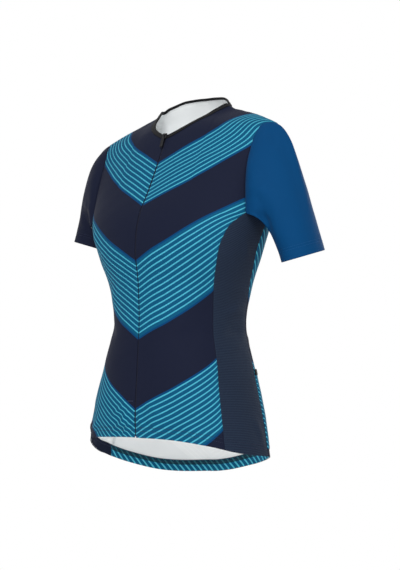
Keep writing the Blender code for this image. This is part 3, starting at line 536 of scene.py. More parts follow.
@dataclass(frozen=True)
class Creases:
    """The worn top's creases, placed one by one, and its slow unevenness."""

    body: tuple[Fold, ...] = (
        # foot of the zip
        Fold((-3, -0.300), (-13, -0.340), 0.0040, 0.0030, 0.002, 0.4),
        Fold((-2, -0.316), (-8, -0.350), 0.0032, 0.0026, -0.001, 1.7),
        Fold((-5, -0.290), (-20, -0.318), 0.0044, 0.0025, 0.003, 2.9),
        Fold((1, -0.298), (7, -0.340), 0.0038, 0.0027, -0.002, 3.3),
        Fold((2, -0.311), (13, -0.343), 0.0036, -0.0024, 0.002, 5.1),
        Fold((3, -0.286), (17, -0.308), 0.0046, 0.0021, 0.001, 0.9),
        Fold((-9, -0.322), (-19, -0.350), 0.0038, 0.0022, 0.001, 3.7),
        # right front corner of the hem
        Fold((-30, -0.322), (-52, -0.352), 0.0060, 0.0032, 0.003, 1.1),
        Fold((-40, -0.300), (-60, -0.330), 0.0066, -0.0030, -0.004, 2.2),
        Fold((-46, -0.335), (-66, -0.356), 0.0050, 0.0028, 0.002, 5.0),
        Fold((-62, -0.338), (-78, -0.360), 0.0064, 0.0030, 0.002, 4.0),
        Fold((28, -0.318), (46, -0.345), 0.0070, 0.0015, 0.003, 5.5),
        # bust to underarm and waist
        Fold((56, -0.006), (26, -0.048), 0.0085, 0.0019, 0.004, 0.3),
        Fold((57, -0.030), (30, -0.085), 0.0095, -0.0016, 0.006, 2.6),
        Fold((-57, -0.004), (-27, -0.050), 0.0085, 0.0021, -0.004, 1.9),
        Fold((-58, -0.034), (-31, -0.079), 0.0090, -0.0015, -0.005, 4.4),
        Fold((52, -0.128), (14, -0.102), 0.0120, 0.0015, 0.004, 3.8),
        Fold((-50, -0.136), (-16, -0.108), 0.0120, 0.0016, -0.004, 0.8),
        Fold((58, -0.176), (20, -0.190), 0.0110, -0.0016, 0.003, 1.3),
        Fold((-56, -0.168), (-24, -0.188), 0.0110, -0.0018, -0.003, 2.4),
        Fold((9, 0.030), (33, 0.075), 0.0120, 0.0012, 0.002, 5.0),
        Fold((-9, 0.034), (-35, 0.070), 0.0120, 0.0012, -0.002, 3.0),
        # sides
        Fold((66, -0.150), (102, -0.139), 0.0075, 0.0024, 0.003, 0.2),
        Fold((70, -0.176), (108, -0.169), 0.0080, -0.0025, -0.003, 2.0),
        Fold((64, -0.205), (100, -0.190), 0.0075, 0.0021, 0.003, 3.1),
        Fold((-66, -0.146), (-104, -0.138), 0.0075, 0.0025, -0.003, 1.5),
        Fold((-69, -0.172), (-107, -0.171), 0.0080, -0.0024, 0.003, 4.6),
        Fold((-65, -0.198), (-98, -0.188), 0.0075, 0.0023, -0.002, 5.8),
        Fold((70, -0.022), (88, -0.066), 0.0070, 0.0023, 0.002, 3.6),
        Fold((-72, -0.020), (-90, -0.069), 0.0070, 0.0024, -0.002, 0.6),
        Fold((84, -0.300), (97, -0.360), 0.0085, 0.0018, 0.003, 2.8),
        Fold((-86, -0.295), (-98, -0.352), 0.0085, 0.0019, -0.003, 4.9),
        # small of the back
        Fold((112, -0.150), (168, -0.133), 0.0100, 0.0033, 0.005, 0.5),
        Fold((116, -0.172), (176, -0.163), 0.0095, -0.0030, -0.004, 1.8),
        Fold((110, -0.196), (160, -0.184), 0.0090, 0.0029, 0.004, 3.4),
        Fold((-114, -0.147), (-170, -0.137), 0.0100, 0.0030, -0.005, 2.7),
        Fold((-112, -0.169), (-164, -0.160), 0.0095, -0.0032, 0.004, 4.1),
        Fold((-118, -0.192), (-174, -0.188), 0.0090, 0.0027, -0.004, 5.3),
        # shoulder blades
        Fold((124, 0.048), (158, 0.020), 0.0110, 0.0021, 0.004, 2.1),
        Fold((-126, 0.052), (-156, 0.018), 0.0110, 0.0019, -0.004, 0.1),
        Fold((116, 0.006), (148, -0.040), 0.0110, -0.0021, 0.005, 3.9),
        Fold((-117, 0.004), (-150, -0.044), 0.0110, -0.0019, -0.005, 5.6),
        Fold((172, 0.118), (186, 0.060), 0.0120, 0.0012, 0.003, 1.0),
    )
    sleeve: tuple[Fold, ...] = (
        Fold((9.0, 0.10), (6.2, 0.62), 0.0070, 0.0024, 0.004, 0.3),
        Fold((10.6, 0.12), (8.8, 0.74), 0.0060, -0.0021, 0.003, 1.6),
        Fold((12.4, 0.10), (11.6, 0.70), 0.0060, 0.0024, 0.002, 2.9),
        Fold((15.4, 0.10), (16.6, 0.66), 0.0060, -0.0023, 0.002, 4.2),
        Fold((17.8, 0.12), (19.8, 0.72), 0.0070, 0.0025, 0.004, 5.5),
        Fold((20.0, 0.14), (23.0, 0.60), 0.0080, -0.0018, 0.004, 0.9),
        Fold((2.2, 0.10), (3.4, 0.44), 0.0080, -0.0012, 0.003, 2.2),
        Fold((26.0, 0.12), (25.0, 0.50), 0.0080, -0.0014, -0.003, 3.5),
        Fold((5.2, 0.62), (9.4, 0.86), 0.0070, 0.0015, 0.002, 4.8),
        Fold((18.8, 0.60), (22.6, 0.84), 0.0070, 0.0016, -0.002, 0.1),
    )

    def unevenness(self, points: np.ndarray) -> np.ndarray:
        """Slow waves of less than half a millimetre."""
        x, y, z = points[..., 0], points[..., 1], points[..., 2]
        first = np.sin(47 * x + 31 * z + 1.3) * np.sin(38 * y - 43 * z + 0.4)
        second = np.sin(88 * x - 61 * z + 2.1) * np.sin(74 * y + 92 * z + 1.9)
        return 0.00034 * first + 0.00018 * second

    def on_body(self, figure: Figure, points: np.ndarray) -> np.ndarray:
        """Lift of the body's cloth at points."""
        total = self.unevenness(points)
        for fold in self.body:
            a = np.array([fold.start[0], fold.end[0]], float)
            h = np.array([fold.start[1], fold.end[1]], float)
            away = figure.outward(a.mean(), h.mean())
            away = away * np.sign(away @ figure.surface(a.mean(), h.mean()))
            total = total + fold.lift(points, figure.surface(a, h), away)
        return total

    def on_sleeve(self, grid: np.ndarray, step: float, hand: int) -> np.ndarray:
        """Lift of a sleeve's cloth; the right one has the same creases shifted a little.

        Args:
            grid: The left sleeve's places, ring by rows.
            step: Grid columns per ring step.
            hand: 1 on the left, -1 on the right.

        Returns:
            Lifts, one per place.
        """
        total = self.unevenness(grid * [hand, 1, 1])
        away = grid_normals(grid)
        for fold in self.sleeve:
            shift = 0.0 if hand > 0 else 0.35 * math.sin(5.0 * fold.phase)
            cols = [int(round((c[0] + shift) * step)) % len(grid) for c in (fold.start, fold.end)]
            rows = [int(round(c[1] * (grid.shape[1] - 1))) for c in (fold.start, fold.end)]
            ends = np.array([grid[cols[0], rows[0]], grid[cols[1], rows[1]]])
            middle = unit(away[cols[0], rows[0]] + away[cols[1], rows[1]])
            total = total + fold.lift(grid, ends, middle) * (1.0 if hand > 0 else 0.9)
        return total


# ------------------------------------------------------------------ cloth shells
class Edge(Enum):
    """How one edge of a shell is finished."""

    SEAM = "sewn to the next piece"
    TURNED = "turned edge, rounded"
    PLAIN = "left as it is, under another piece"


def fine_steps(last: float, per_step: int, margins: Iterable[float]) -> np.ndarray:
    """Even fractional steps from 0 to last, closer together near both ends.

    Args:
        last: The last whole number.
        per_step: Places per whole number.
        margins: Extra places, counted from each end.

    Returns:
        The places in order.
    """
    even = np.linspace(0.0, last, int(round(last * per_step)) + 1)
    extra = np.array(list(margins))
    return np.unique(np.round(np.concatenate([even, extra, last - extra]), 6))


@dataclass
class Patch:
    """A fine grid of cloth: columns across it, rows up it, and its outward directions."""

    outer: np.ndarray
    outward: np.ndarray
    cols: np.ndarray
    rows: np.ndarray

    def at(self, cols: np.ndarray, rows: np.ndarray, lift: np.ndarray | float = 0.0) -> np.ndarray:
        """Places at column and row numbers, lifted off the outside."""
        points, outward = self.read(cols, rows)
        return points + outward * np.asarray(lift, float)[..., None]

    def read(self, cols: np.ndarray, rows: np.ndarray) -> Grid:
        """Places and outward directions at column and row numbers."""
        cols, rows = np.broadcast_arrays(np.asarray(cols, float), np.asarray(rows, float))
        i = np.clip(np.searchsorted(self.cols, cols, side="right") - 1, 0, len(self.cols) - 2)
        j = np.clip(np.searchsorted(self.rows, rows, side="right") - 1, 0, len(self.rows) - 2)
        s = ((cols - self.cols[i]) / (self.cols[i + 1] - self.cols[i]))[..., None]
        t = ((rows - self.rows[j]) / (self.rows[j + 1] - self.rows[j]))[..., None]
        found = []
        for grid in (self.outer, self.outward):
            near = grid[i, j] * (1 - s) + grid[i + 1, j] * s
            far = grid[i, j + 1] * (1 - s) + grid[i + 1, j + 1] * s
            found.append(near * (1 - t) + far * t)
        return found[0], unit(found[1])

    def from_edges(self) -> dict[str, np.ndarray]:
        """Distance of each place from each edge, along the cloth."""
        across = run_length(self.outer, 0)
        up = run_length(self.outer, 1)
        return {"left": across, "right": across[-1:] - across, "foot": up, "top": up[:, -1:] - up}

    def mirrored(self) -> "Patch":
        """The same cloth on the other side of the body, its columns turned round."""
        flip = np.array([-1.0, 1.0, 1.0])
        cols = self.cols[-1] - self.cols[::-1]
        return Patch(self.outer[::-1] * flip, self.outward[::-1] * flip, cols, self.rows)


HEM_LAYERS = 1.75


@dataclass
class Shell:
    """A thin closed shell of cloth made from a patch."""

    patch: Patch
    wall: float
    edges: dict[str, Edge]
    uv: np.ndarray
    dip: float = 0.0007
    dip_reach: float = 0.0030
    pucker: float = 0.00016
    pucker_reach: float = 0.006
    dent: float = 0.00022
    dent_reach: float = 0.0012
    hem: float = 0.0
    stitch_rows: tuple[float, ...] = ()
    hem_edge: str = "foot"

    def sunk(self) -> np.ndarray:
        """Outside places, dipped and puckered at the seams and along the stitch rows."""
        outer = self.patch.outer.copy()
        gaps = self.patch.from_edges()
        for name, edge in self.edges.items():
            gap = gaps[name]
            run = gaps["foot" if name in ("left", "right") else "left"]
            wave = np.sin(run / 0.0031 + 1.7 * np.sin(run / 0.021)) * np.sin(run / 0.0173 + 0.6)
            if edge is Edge.SEAM:
                dip = self.dip * (1.0 - ease(gap, 0.0, self.dip_reach))
                ripple = self.pucker * wave * ease(gap, 0.0, 0.002) * np.exp(-gap / self.pucker_reach)
                outer = outer + self.patch.outward * (ripple - dip)[..., None]
            for row in self.stitch_rows if name == self.hem_edge else ():
                dent = np.exp(-((gap - row) / self.dent_reach) ** 2)
                outer = outer - self.patch.outward * (dent * (self.dent + 0.0001 * wave))[..., None]
        return outer

    def thickness(self) -> np.ndarray:
        """Wall at each place; a turned hem is two layers."""
        gap = self.patch.from_edges()[self.hem_edge]
        turned = 1.0 - ease(gap, self.hem - 0.001, self.hem) if self.hem else np.zeros_like(gap)
        return self.wall * (1.0 + (HEM_LAYERS - 1.0) * turned)

    def mesh(self, name: str) -> bpy.types.Mesh:
        """The shell's mesh, with its coordinates in metres and a material place per face."""
        outer = self.sunk()
        inner = outer - self.patch.outward * self.thickness()[..., None]
        c, r = outer.shape[:2]
        half = c * r
        index = np.arange(half).reshape(c, r)
        quads = np.stack([index[:-1, :-1], index[1:, :-1], index[1:, 1:], index[:-1, 1:]], axis=-1)
        quads = quads.reshape(-1, 4)
        points = [outer.reshape(-1, 3), inner.reshape(-1, 3)]
        uvs = [self.uv.reshape(-1, 2)] * 2
        faces = [quads, quads[:, ::-1] + half]
        places = [np.full(len(quads), Face.OUTSIDE.value), np.full(len(quads), Face.REVERSE.value)]
        count = 2 * half
        rims = {"foot": (index[:, 0], index[:, 1]), "right": (index[-1], index[-2]),
                "top": (index[::-1, -1], index[::-1, -2]), "left": (index[0, ::-1], index[1, ::-1])}
        for edge, (ring, inward) in rims.items():
            rows = [ring, ring + half]
            if self.edges[edge] is Edge.TURNED:
                a, b = points[0][ring], points[1][ring]
                away = unit(a - points[0][inward]) * np.linalg.norm(a - b, axis=1)[:, None] * 0.5
                for share, out in ((0.2, 0.62), (0.5, 0.9), (0.8, 0.62)):
                    points.append(a * (1 - share) + b * share + away * out)
                    uvs.append(uvs[0][ring])
                    rows.insert(-1, count + np.arange(len(ring)))
                    count += len(ring)
            for near, far in zip(rows[:-1], rows[1:]):
                faces.append(np.stack([near[:-1], far[:-1], far[1:], near[1:]], axis=-1))
                places.append(np.full(len(near) - 1, Face.OUTSIDE.value))
        mesh = cloth_mesh(name, np.concatenate(points), np.concatenate(faces).tolist(), np.concatenate(uvs))
        mesh.polygons.foreach_set("material_index", np.concatenate(places).astype(np.int32))
        return mesh


def cloth_mesh(name: str, points: np.ndarray, faces: Sequence[Sequence[int]],
               uvs: np.ndarray) -> bpy.types.Mesh:
    """A smooth mesh with a coordinate layer in metres.

    Args:
        name: Name of the mesh.
        points: Places of its corners.
        faces: Corner numbers of each face.
        uvs: Coordinates in metres, one pair per corner.

    Returns:
        The mesh.
    """
    mesh = bpy.data.meshes.new(name)
    mesh.from_pydata(points.tolist(), [], faces)
    layer = mesh.uv_layers.new(name="cloth")
    corner = np.empty(len(mesh.loops), int)
    mesh.loops.foreach_get("vertex_index", corner)
    layer.data.foreach_set("uv", np.asarray(uvs, np.float32)[corner].ravel())
    mesh.polygons.foreach_set("use_smooth", np.ones(len(faces), bool))
    mesh.update()
    return mesh


def metres_uv(points: np.ndarray) -> np.ndarray:
    """Coordinates in metres: distance across, and height of the foot plus the distance up."""
    second = points[:, :1, 2] + run_length(points, 1)
    return np.stack([run_length(points, 0), second], axis=-1)


def tube_faces(stations: int, places: int) -> list[list[int]]:
    """Faces of a closed bar: four corners each along its skin, then its two ends."""
    index = np.arange(stations * places).reshape(stations, places)
    wrap = np.concatenate([index, index[:, :1]], axis=1)
    quads = np.stack([wrap[:-1, :-1], wrap[1:, :-1], wrap[1:, 1:], wrap[:-1, 1:]], axis=-1)
    return quads.reshape(-1, 4).tolist() + [index[0].tolist(), index[-1, ::-1].tolist()]


def section_mesh(name: str, sections: np.ndarray, uv_step: float) -> bpy.types.Mesh:
    """A closed bar through sections of equal size.

    Args:
        name: Name of the mesh.
        sections: Array of stations by section places by three.
        uv_step: Metres that the second coordinate grows per section place.

    Returns:
        The mesh.
    """
    n, m = sections.shape[:2]
    ring = np.concatenate([sections, sections[:, :1]], axis=1)
    along = run_length(ring, 0).mean(axis=1)
    pair = np.stack([np.repeat(along, m), np.tile(np.arange(m), n) * uv_step], axis=-1)
    mesh = cloth_mesh(name, sections.reshape(-1, 3), tube_faces(n, m), pair)
    face_outward(mesh)
    return mesh


def face_outward(mesh: bpy.types.Mesh) -> None:
    """Turn a closed mesh's faces outward."""
    work = bmesh.new()
    work.from_mesh(mesh)
    bmesh.ops.recalc_face_normals(work, faces=work.faces)
    if work.calc_volume(signed=True) < 0.0:
        bmesh.ops.reverse_faces(work, faces=work.faces)
    work.to_mesh(mesh)
    work.free()


def joined(name: str, parts: Iterable[bpy.types.Mesh]) -> bpy.types.Mesh:
    """One mesh of several, which are used up."""
    work = bmesh.new()
    for part in parts:
        work.from_mesh(part)
        bpy.data.meshes.remove(part)
    mesh = bpy.data.meshes.new(name)
    work.to_mesh(mesh)
    work.free()
    return mesh


# ------------------------------------------------------------------ thread
@dataclass(frozen=True)
class Stitching:
    """A run of straight stitches: thread that stands a little proud of the cloth."""

    pitch: float = 0.0030
    length: float = 0.0023
    radius: float = 0.00024
    sides: int = 5

    def mesh(self, name: str, lines: Sequence[Grid]) -> bpy.types.Mesh:
        """Stitches along lines.

        Args:
            name: Name of the mesh.
            lines: Pairs of places along a line and the outward directions there.

        Returns:
            One mesh of all the stitches.
        """
        points: list[np.ndarray] = []
        for line, away in lines:
            run = run_length(line, 0)
            for k in range(int(run[-1] / self.pitch)):
                marks = (k + 0.5) * self.pitch + np.array([-0.5, -0.36, 0.36, 0.5]) * self.length
                if marks[0] > 0.0 and marks[-1] < run[-1]:
                    points.append(self.stitch(line, away, run, marks))
        return self.join(name, np.array(points))

    def stitch(self, line: np.ndarray, away: np.ndarray, run: np.ndarray,
               marks: np.ndarray) -> np.ndarray:
        """Rings of one stitch at four marks of its line."""
        at = np.stack([np.interp(marks, run, line[:, k]) for k in range(3)], axis=-1)
        out = unit(np.stack([np.interp(marks, run, away[:, k]) for k in range(3)], axis=-1))
        side = unit(np.cross(out, unit(at[-1:] - at[:1])))
        turn = np.linspace(0.0, 2.0 * math.pi, self.sides, endpoint=False)
        size = self.radius * np.array([0.35, 1.0, 1.0, 0.35])
        rise = self.radius * np.array([-0.7, 0.25, 0.25, -0.7])
        centre = at + out * rise[:, None]
        ring = side[:, None] * np.cos(turn)[None, :, None] + out[:, None] * np.sin(turn)[None, :, None]
        return centre[:, None] + ring * size[:, None, None]

    def join(self, name: str, rings: np.ndarray) -> bpy.types.Mesh:
        """One mesh of many short closed bars."""
        count, stations, sides = rings.shape[:3]
        one = tube_faces(stations, sides)
        faces = [[corner + stations * sides * k for corner in face] for k in range(count) for face in one]
        mesh = bpy.data.meshes.new(name)
        mesh.from_pydata(rings.reshape(-1, 3).tolist(), [], faces)
        mesh.polygons.foreach_set("use_smooth", np.ones(len(faces), bool))
        mesh.update()
        face_outward(mesh)
        return mesh


# ------------------------------------------------------------------ materials
PRINT_BLUR = 0.0002


class Value:
    """A socket on its way through a node tree; arithmetic on it adds Math nodes."""

    def __init__(self, nodes: "Nodes", source: bpy.types.NodeSocket) -> None:
        self.nodes = nodes
        self.source = source

    def _math(self, operation: str, *terms: "Value | float") -> "Value":
        """One Math node over these terms."""
        return self.nodes.node("ShaderNodeMath", {"operation": operation}, dict(enumerate(terms)))

    def __add__(self, other: "Value | float") -> "Value":
        """Sum."""
        return self._math("ADD", self, other)

    def __sub__(self, other: "Value | float") -> "Value":
        """Difference."""
        return self._math("SUBTRACT", self, other)

    def __rsub__(self, other: "Value | float") -> "Value":
        """Difference with the terms turned round."""
        return self._math("SUBTRACT", other, self)

    def __mul__(self, other: "Value | float") -> "Value":
        """Product."""
        return self._math("MULTIPLY", self, other)

    def __truediv__(self, other: "Value | float") -> "Value":
        """Quotient."""
        return self._math("DIVIDE", self, other)

    def __abs__(self) -> "Value":
        """Size without sign."""
        return self._math("ABSOLUTE", self)

    def sine(self) -> "Value":
        """Sine of an angle in radians."""
        return self._math("SINE", self)

    def fraction(self) -> "Value":
        """What is left over a whole number."""
        return self._math("FRACT", self)

    def most(self, other: "Value | float") -> "Value":
        """The larger of the two."""
        return self._math("MAXIMUM", self, other)

    def rise(self, low: float, high: float) -> "Value":
        """Smooth step from 0 at low to 1 at high."""
        settings = {"interpolation_type": "SMOOTHSTEP"}
        return self.nodes.node("ShaderNodeMapRange", settings, {0: self, 1: low, 2: high})

    def step(self, place: float) -> "Value":
        """0 below a place and 1 above it, within the blur of a print."""
        return self.rise(place - PRINT_BLUR, place + PRINT_BLUR)

    def line(self, pitch: float, width: float) -> "Value":
        """Evenly spaced lines of this width: 1 on a line, 0 between."""
        away = abs((self / pitch).fraction() - 0.5) * pitch
        return 1.0 - away.step(0.5 * width)


class Nodes:
    """A node tree on the drawing board."""

    def __init__(self, tree: bpy.types.NodeTree) -> None:
        self.tree = tree

    def node(self, kind: str, settings: dict[str, object] | None = None,
             values: "dict[int | str, object] | None" = None, out: "int | str" = 0) -> Value:
        """Any node.

        Args:
            kind: The node's type.
            settings: Its settings, set before its sockets.
            values: Values or links by socket name or number.
            out: Which output is read.

        Returns:
            That output.
        """
        made = self.tree.nodes.new(kind)
        for key, value in (settings or {}).items():
            setattr(made, key, value)
        for key, value in (values or {}).items():
            self.feed(made.inputs[key], value)
        return Value(self, made.outputs[out])

    def feed(self, socket: bpy.types.NodeSocket, value: object) -> None:
        """Give a socket a link, a number or a colour."""
        source = value.source if isinstance(value, Value) else value
        if isinstance(source, bpy.types.NodeSocket):
            self.tree.links.new(source, socket)
        elif isinstance(source, tuple) and socket.type == "RGBA":
            socket.default_value = (*source, 1.0)
        else:
            socket.default_value = source


class Paint(Nodes):
    """The nodes of one material."""

    def __init__(self, name: str, roughness: float, **constants: float) -> None:
        self.material = bpy.data.materials.new(name)
        self.material.use_nodes = True
        super().__init__(self.material.node_tree)
        self.shader = self.tree.nodes["Principled BSDF"]
        self.shader.inputs["Roughness"].default_value = roughness
        for socket, value in constants.items():
            self.shader.inputs[socket.replace("_", " ")].default_value = value

    def mix(self, factor: "Value | float", first: "Value | Colour", second: "Value | Colour") -> Value:
        """Mix of two colours."""
        return self.node("ShaderNodeMix", {"data_type": "RGBA"}, {0: factor, 6: first, 7: second}, 2)

    def cloth(self) -> tuple[Value, Value]:
        """Coordinates in metres, across the cloth and up it."""
        pair = self.node("ShaderNodeUVMap", {"uv_map": "cloth"})
        across = self.node("ShaderNodeSeparateXYZ", None, {0: pair})
        return across, Value(self, across.source.node.outputs[1])

    def noise(self, scale: float, detail: float = 2.0) -> Value:
        """Noise over the object's own metres, from 0 to 1."""
        place = self.node("ShaderNodeTexCoord", out="Object")
        return self.node("ShaderNodeTexNoise", None, {"Vector": place, "Scale": scale, "Detail": detail})

    def finish(self, colour: "Value | Colour", height: Value | None = None, depth: float = 0.0001,
               roughness: Value | None = None) -> bpy.types.Material:
        """Join colour, relief and roughness to the surface.

        Args:
            colour: The surface's colour.
            height: Its relief, from 0 to 1.
            depth: Metres that the relief stands for.
            roughness: Uneven roughness, in place of the plain one.

        Returns:
            The material.
        """
        self.feed(self.shader.inputs["Base Color"], colour)
        if roughness is not None:
            self.feed(self.shader.inputs["Roughness"], roughness)
        if height is not None:
            bump = self.node("ShaderNodeBump", None, {"Height": height, "Distance": depth, "Strength": 1.0})
            self.feed(self.shader.inputs["Normal"], bump)
        return self.material


def colour_of(red: int, green: int, blue: int) -> Colour:
    """Linear colour from screen values of 0 to 255."""
    parts = [c / 255.0 for c in (red, green, blue)]
    return tuple(c / 12.92 if c <= 0.04045 else ((c + 0.055) / 1.055) ** 2.4 for c in parts)


def waves(along: Value, pitch: float) -> Value:
    """Sine waves of this pitch along a coordinate, from -1 to 1."""
    return (along * (2.0 * math.pi / pitch)).sine()


NAVY = colour_of(23, 28, 48)
BLUE = colour_of(1, 66, 115)
TEAL = colour_of(9, 84, 121)
PALE_TEAL = colour_of(78, 182, 206)
BLACK = colour_of(19, 19, 21)
WHITE = colour_of(246, 248, 248)
# Darker copies of the teal and the pale teal: painted shade on the facing above its fold.
SHADED_TEAL = colour_of(17, 52, 68)
SHADED_PALE_TEAL = colour_of(38, 92, 104)
SHEEN = {"Sheen_Weight": 0.02, "Sheen_Roughness": 0.45, "Specular_IOR_Level": 0.09}


@dataclass(frozen=True)
class Knit:
    """Fine jersey: rows of loops that show as a soft grain."""

    wale: float = 0.0009
    course: float = 0.0007
    depth: float = 0.00006
    roughness: float = 0.74
    dye: float = 0.16

    def paint(self, name: str) -> Paint:
        """A new material as matt as this cloth."""
        return Paint(name, self.roughness, **SHEEN)

    def relief(self, across: Value, up: Value) -> Value:
        """Height of the loops, 0 to 1."""
        lean = abs((across / self.wale).fraction() - 0.5)
        rows = (up * (2.0 * math.pi / self.course) + lean * 3.0).sine()
        return (rows * 0.3 + 0.5) * (1.0 - lean * 0.9)

    def grain(self, paint: Paint, colour: "Value | Colour") -> Value:
        """A colour with the slight unevenness of dyed thread."""
        fine = paint.noise(1400.0, 1.0)
        slow = paint.noise(16.0, 3.0)
        return paint.mix(1.0 - (fine - 0.5) * self.dye - (slow - 0.5) * 0.16, (0.0, 0.0, 0.0), colour)

    def finish(self, paint: Paint, colour: "Value | Colour") -> bpy.types.Material:
        """This cloth in one colour or print."""
        return paint.finish(self.grain(paint, colour), self.relief(*paint.cloth()), self.depth)


@dataclass(frozen=True)
class BandPrint:
    """Generic print: pinstriped chevron bands on a plain ground, the same on front and back.

    A band is the height of its lower and upper edge at the centre line; all rise to the sides.
    """

    name: str
    bands: tuple[tuple[float, float], ...] = ((-0.196, -0.112), (-0.412, -0.286), (-0.640, -0.520))
    slope: float = 0.62
    pitch: float = 0.0075
    stripe: float = 0.0019
    border: float = 0.0026

    def masks(self, across: Value, up: Value) -> tuple[Value, Value, Value]:
        """Where the bands, their borders and the pinstripes are."""
        square = 1.0 / math.hypot(1.0, self.slope)
        level = (up - abs(across) * self.slope) * square
        inside: Value | None = None
        for low, high in self.bands:
            middle, half = (low + high) * 0.5 * square, (high - low) * 0.5 * square
            depth = half - abs(level - middle)
            inside = depth if inside is None else inside.most(depth)
        return inside.step(0.0), inside.step(self.border), level.line(self.pitch, self.stripe)

    def material(self) -> bpy.types.Material:
        """The printed outside."""
        knit = Knit()
        paint = knit.paint(self.name)
        band, core, line = self.masks(*paint.cloth())
        edged = paint.mix(core, BLUE, paint.mix(core * line, TEAL, PALE_TEAL))
        return knit.finish(paint, paint.mix(band, NAVY, edged))

    def reverse(self) -> bpy.types.Material:
        """The unprinted inside, with the print faint behind it."""
        knit = Knit(depth=0.00007, roughness=0.8, dye=0.05)
        paint = knit.paint(self.name + "_inside")
        band, core, line = self.masks(*paint.cloth())
        through = (1.0 - band) * 0.10 + band * (1.0 - core * line) * 0.045
        return knit.finish(paint, paint.mix(through, WHITE, colour_of(150, 164, 178)))


@dataclass(frozen=True)
class PlainKnit:
    """Jersey dyed in one colour."""

    name: str
    colour: Colour
    knit: Knit = Knit()

    def material(self) -> bpy.types.Material:
        """The finish."""
        return self.knit.finish(self.knit.paint(self.name), self.colour)


@dataclass(frozen=True)
class MeshKnit:
    """Airy warp knit: small holes in offset rows between fine cross ribs, the holes painted darker as
    painted shade and the rib tops painted lighter as a painted highlight.
    """

    name: str
    colour: Colour = colour_of(33, 43, 62)
    rib: float = 0.0026
    hole: float = 0.0022
    knit: Knit = Knit(depth=0.00016, roughness=0.78, dye=0.12)

    def material(self) -> bpy.types.Material:
        """The finish."""
        paint = self.knit.paint(self.name)
        across, up = paint.cloth()
        rows = waves(up, self.rib)
        shift = (across * (2.0 * math.pi / self.hole) + rows * 0.9).sine()
        holes = (rows * shift).rise(0.10, 0.75)
        # Painted shade: the holes are darkened to less than half the cloth's colour.
        ground = paint.mix(holes, self.colour, tuple(c * 0.45 for c in self.colour))
        # Painted highlight: the tops of the cross ribs are painted lighter.
        lit = paint.mix(rows.rise(0.2, 1.0) * 0.35, ground, colour_of(58, 76, 98))
        return paint.finish(self.knit.grain(paint, lit), 1.0 - holes + rows * 0.25, self.knit.depth)


@dataclass(frozen=True)
class Elastic:
    """Folded elastic: fine ribs along its length with a firm edge."""

    name: str
    colour: Colour = BLACK
    rib: float = 0.0011
    pick: float = 0.0008

    def material(self) -> bpy.types.Material:
        """The finish."""
        paint = Paint(self.name, 0.66, Sheen_Weight=0.01, Sheen_Roughness=0.5, Specular_IOR_Level=0.10)
        along, across = paint.cloth()
        ribs = waves(across, self.rib)
        # Painted highlight: the rib crests are painted lighter, with a random fleck of noise.
        lit = (ribs * 0.5 + 0.5) * 0.35 + paint.noise(900.0) * 0.2
        shade = paint.mix(lit, self.colour, tuple(c * 2.6 for c in self.colour))
        return paint.finish(shade, ribs * 0.5 + waves(along, self.pick) * 0.25, 0.00012)


@dataclass(frozen=True)
class FacingPrint:
    """Turned-up hem: plain inside the sides, pinstriped inside the back, and above its fold the same print
    painted darker as painted shade.
    """

    name: str
    fold: float = 0.0115
    seams: tuple[float, float] = (0.095, 0.500)
    lean: tuple[float, float] = (0.78, 0.62)
    pitch: float = 0.0096
    stripe: float = 0.0031

    def material(self) -> bpy.types.Material:
        """The finish."""
        knit = Knit()
        paint = knit.paint(self.name)
        across, up = paint.cloth()
        line = (across * self.lean[0] - up * self.lean[1]).line(self.pitch, self.stripe)
        # Above the fold the pinstripes are drawn in the darker copies: painted shade.
        bright, shaded_stripes = paint.mix(line, TEAL, PALE_TEAL), paint.mix(line, SHADED_TEAL, SHADED_PALE_TEAL)
        striped = paint.mix(up.step(self.fold), bright, shaded_stripes)
        back = across.step(self.seams[0]) - across.step(self.seams[1])
        return knit.finish(paint, paint.mix(back, NAVY, striped))


@dataclass(frozen=True)
class Woven:
    """Tight woven tape in a herringbone."""

    name: str
    colour: Colour
    chevron: float = 0.0036
    pick: float = 0.0009

    def material(self) -> bpy.types.Material:
        """The finish."""
        paint = Paint(self.name, 0.7, **SHEEN)
        along, across = paint.cloth()
        slant = abs((across / self.chevron).fraction() - 0.5) * self.chevron
        rows = waves(along + slant * 2.0, self.pick)
        # The rows of the weave are painted lighter and darker in turn: painted highlight and shade on thread
        # of one colour.
        shade = paint.mix(rows * 0.2 + 0.3, self.colour, tuple(c * 1.9 + 0.004 for c in self.colour))
        return paint.finish(shade, rows, 0.00010)


@dataclass(frozen=True)
class Moulded:
    """Moulded rubber, nylon thread or enamelled metal: a fine uneven skin."""

    name: str
    colour: Colour
    roughness: float
    coat: float = 0.0
    scale: float = 900.0

    def material(self) -> bpy.types.Material:
        """The finish."""
        paint = Paint(self.name, self.roughness, Coat_Weight=self.coat, Coat_Roughness=0.25,
                      Specular_IOR_Level=0.22)
        grain = paint.noise(self.scale, 3.0)
        worn = paint.noise(self.scale * 0.2, 4.0).rise(0.55, 0.8)
        shade = paint.mix(worn * 0.35, self.colour, tuple(min(1.0, c * 2.2 + 0.006) for c in self.colour))
        rough = grain * 0.16 + (self.roughness - 0.08)
        return paint.finish(shade, grain, 0.00003, rough)


# ------------------------------------------------------------------ pieces
WORN_NECK: Table = (
    (-0.095, 0.0), (-0.068, 0.0006), (-0.045, 0.0038), (-0.010, 0.0040),
    (0.030, 0.0008), (0.070, -0.0045), (0.100, -0.0042), (0.140, 0.0),
)


NECK_FADE = (-0.045, -0.002)


def settle_neck(mesh: bpy.types.Mesh) -> None:
    """Let the neck sit a little lower on the left shoulder, as it is worn."""
    points = np.empty(3 * len(mesh.vertices), np.float32)
    mesh.vertices.foreach_get("co", points)
    points = points.reshape(-1, 3)
    points[:, 2] += read_table(WORN_NECK, points[:, 0]) * ease(points[:, 2], *NECK_FADE)
    mesh.vertices.foreach_set("co", points.ravel())
    mesh.update()


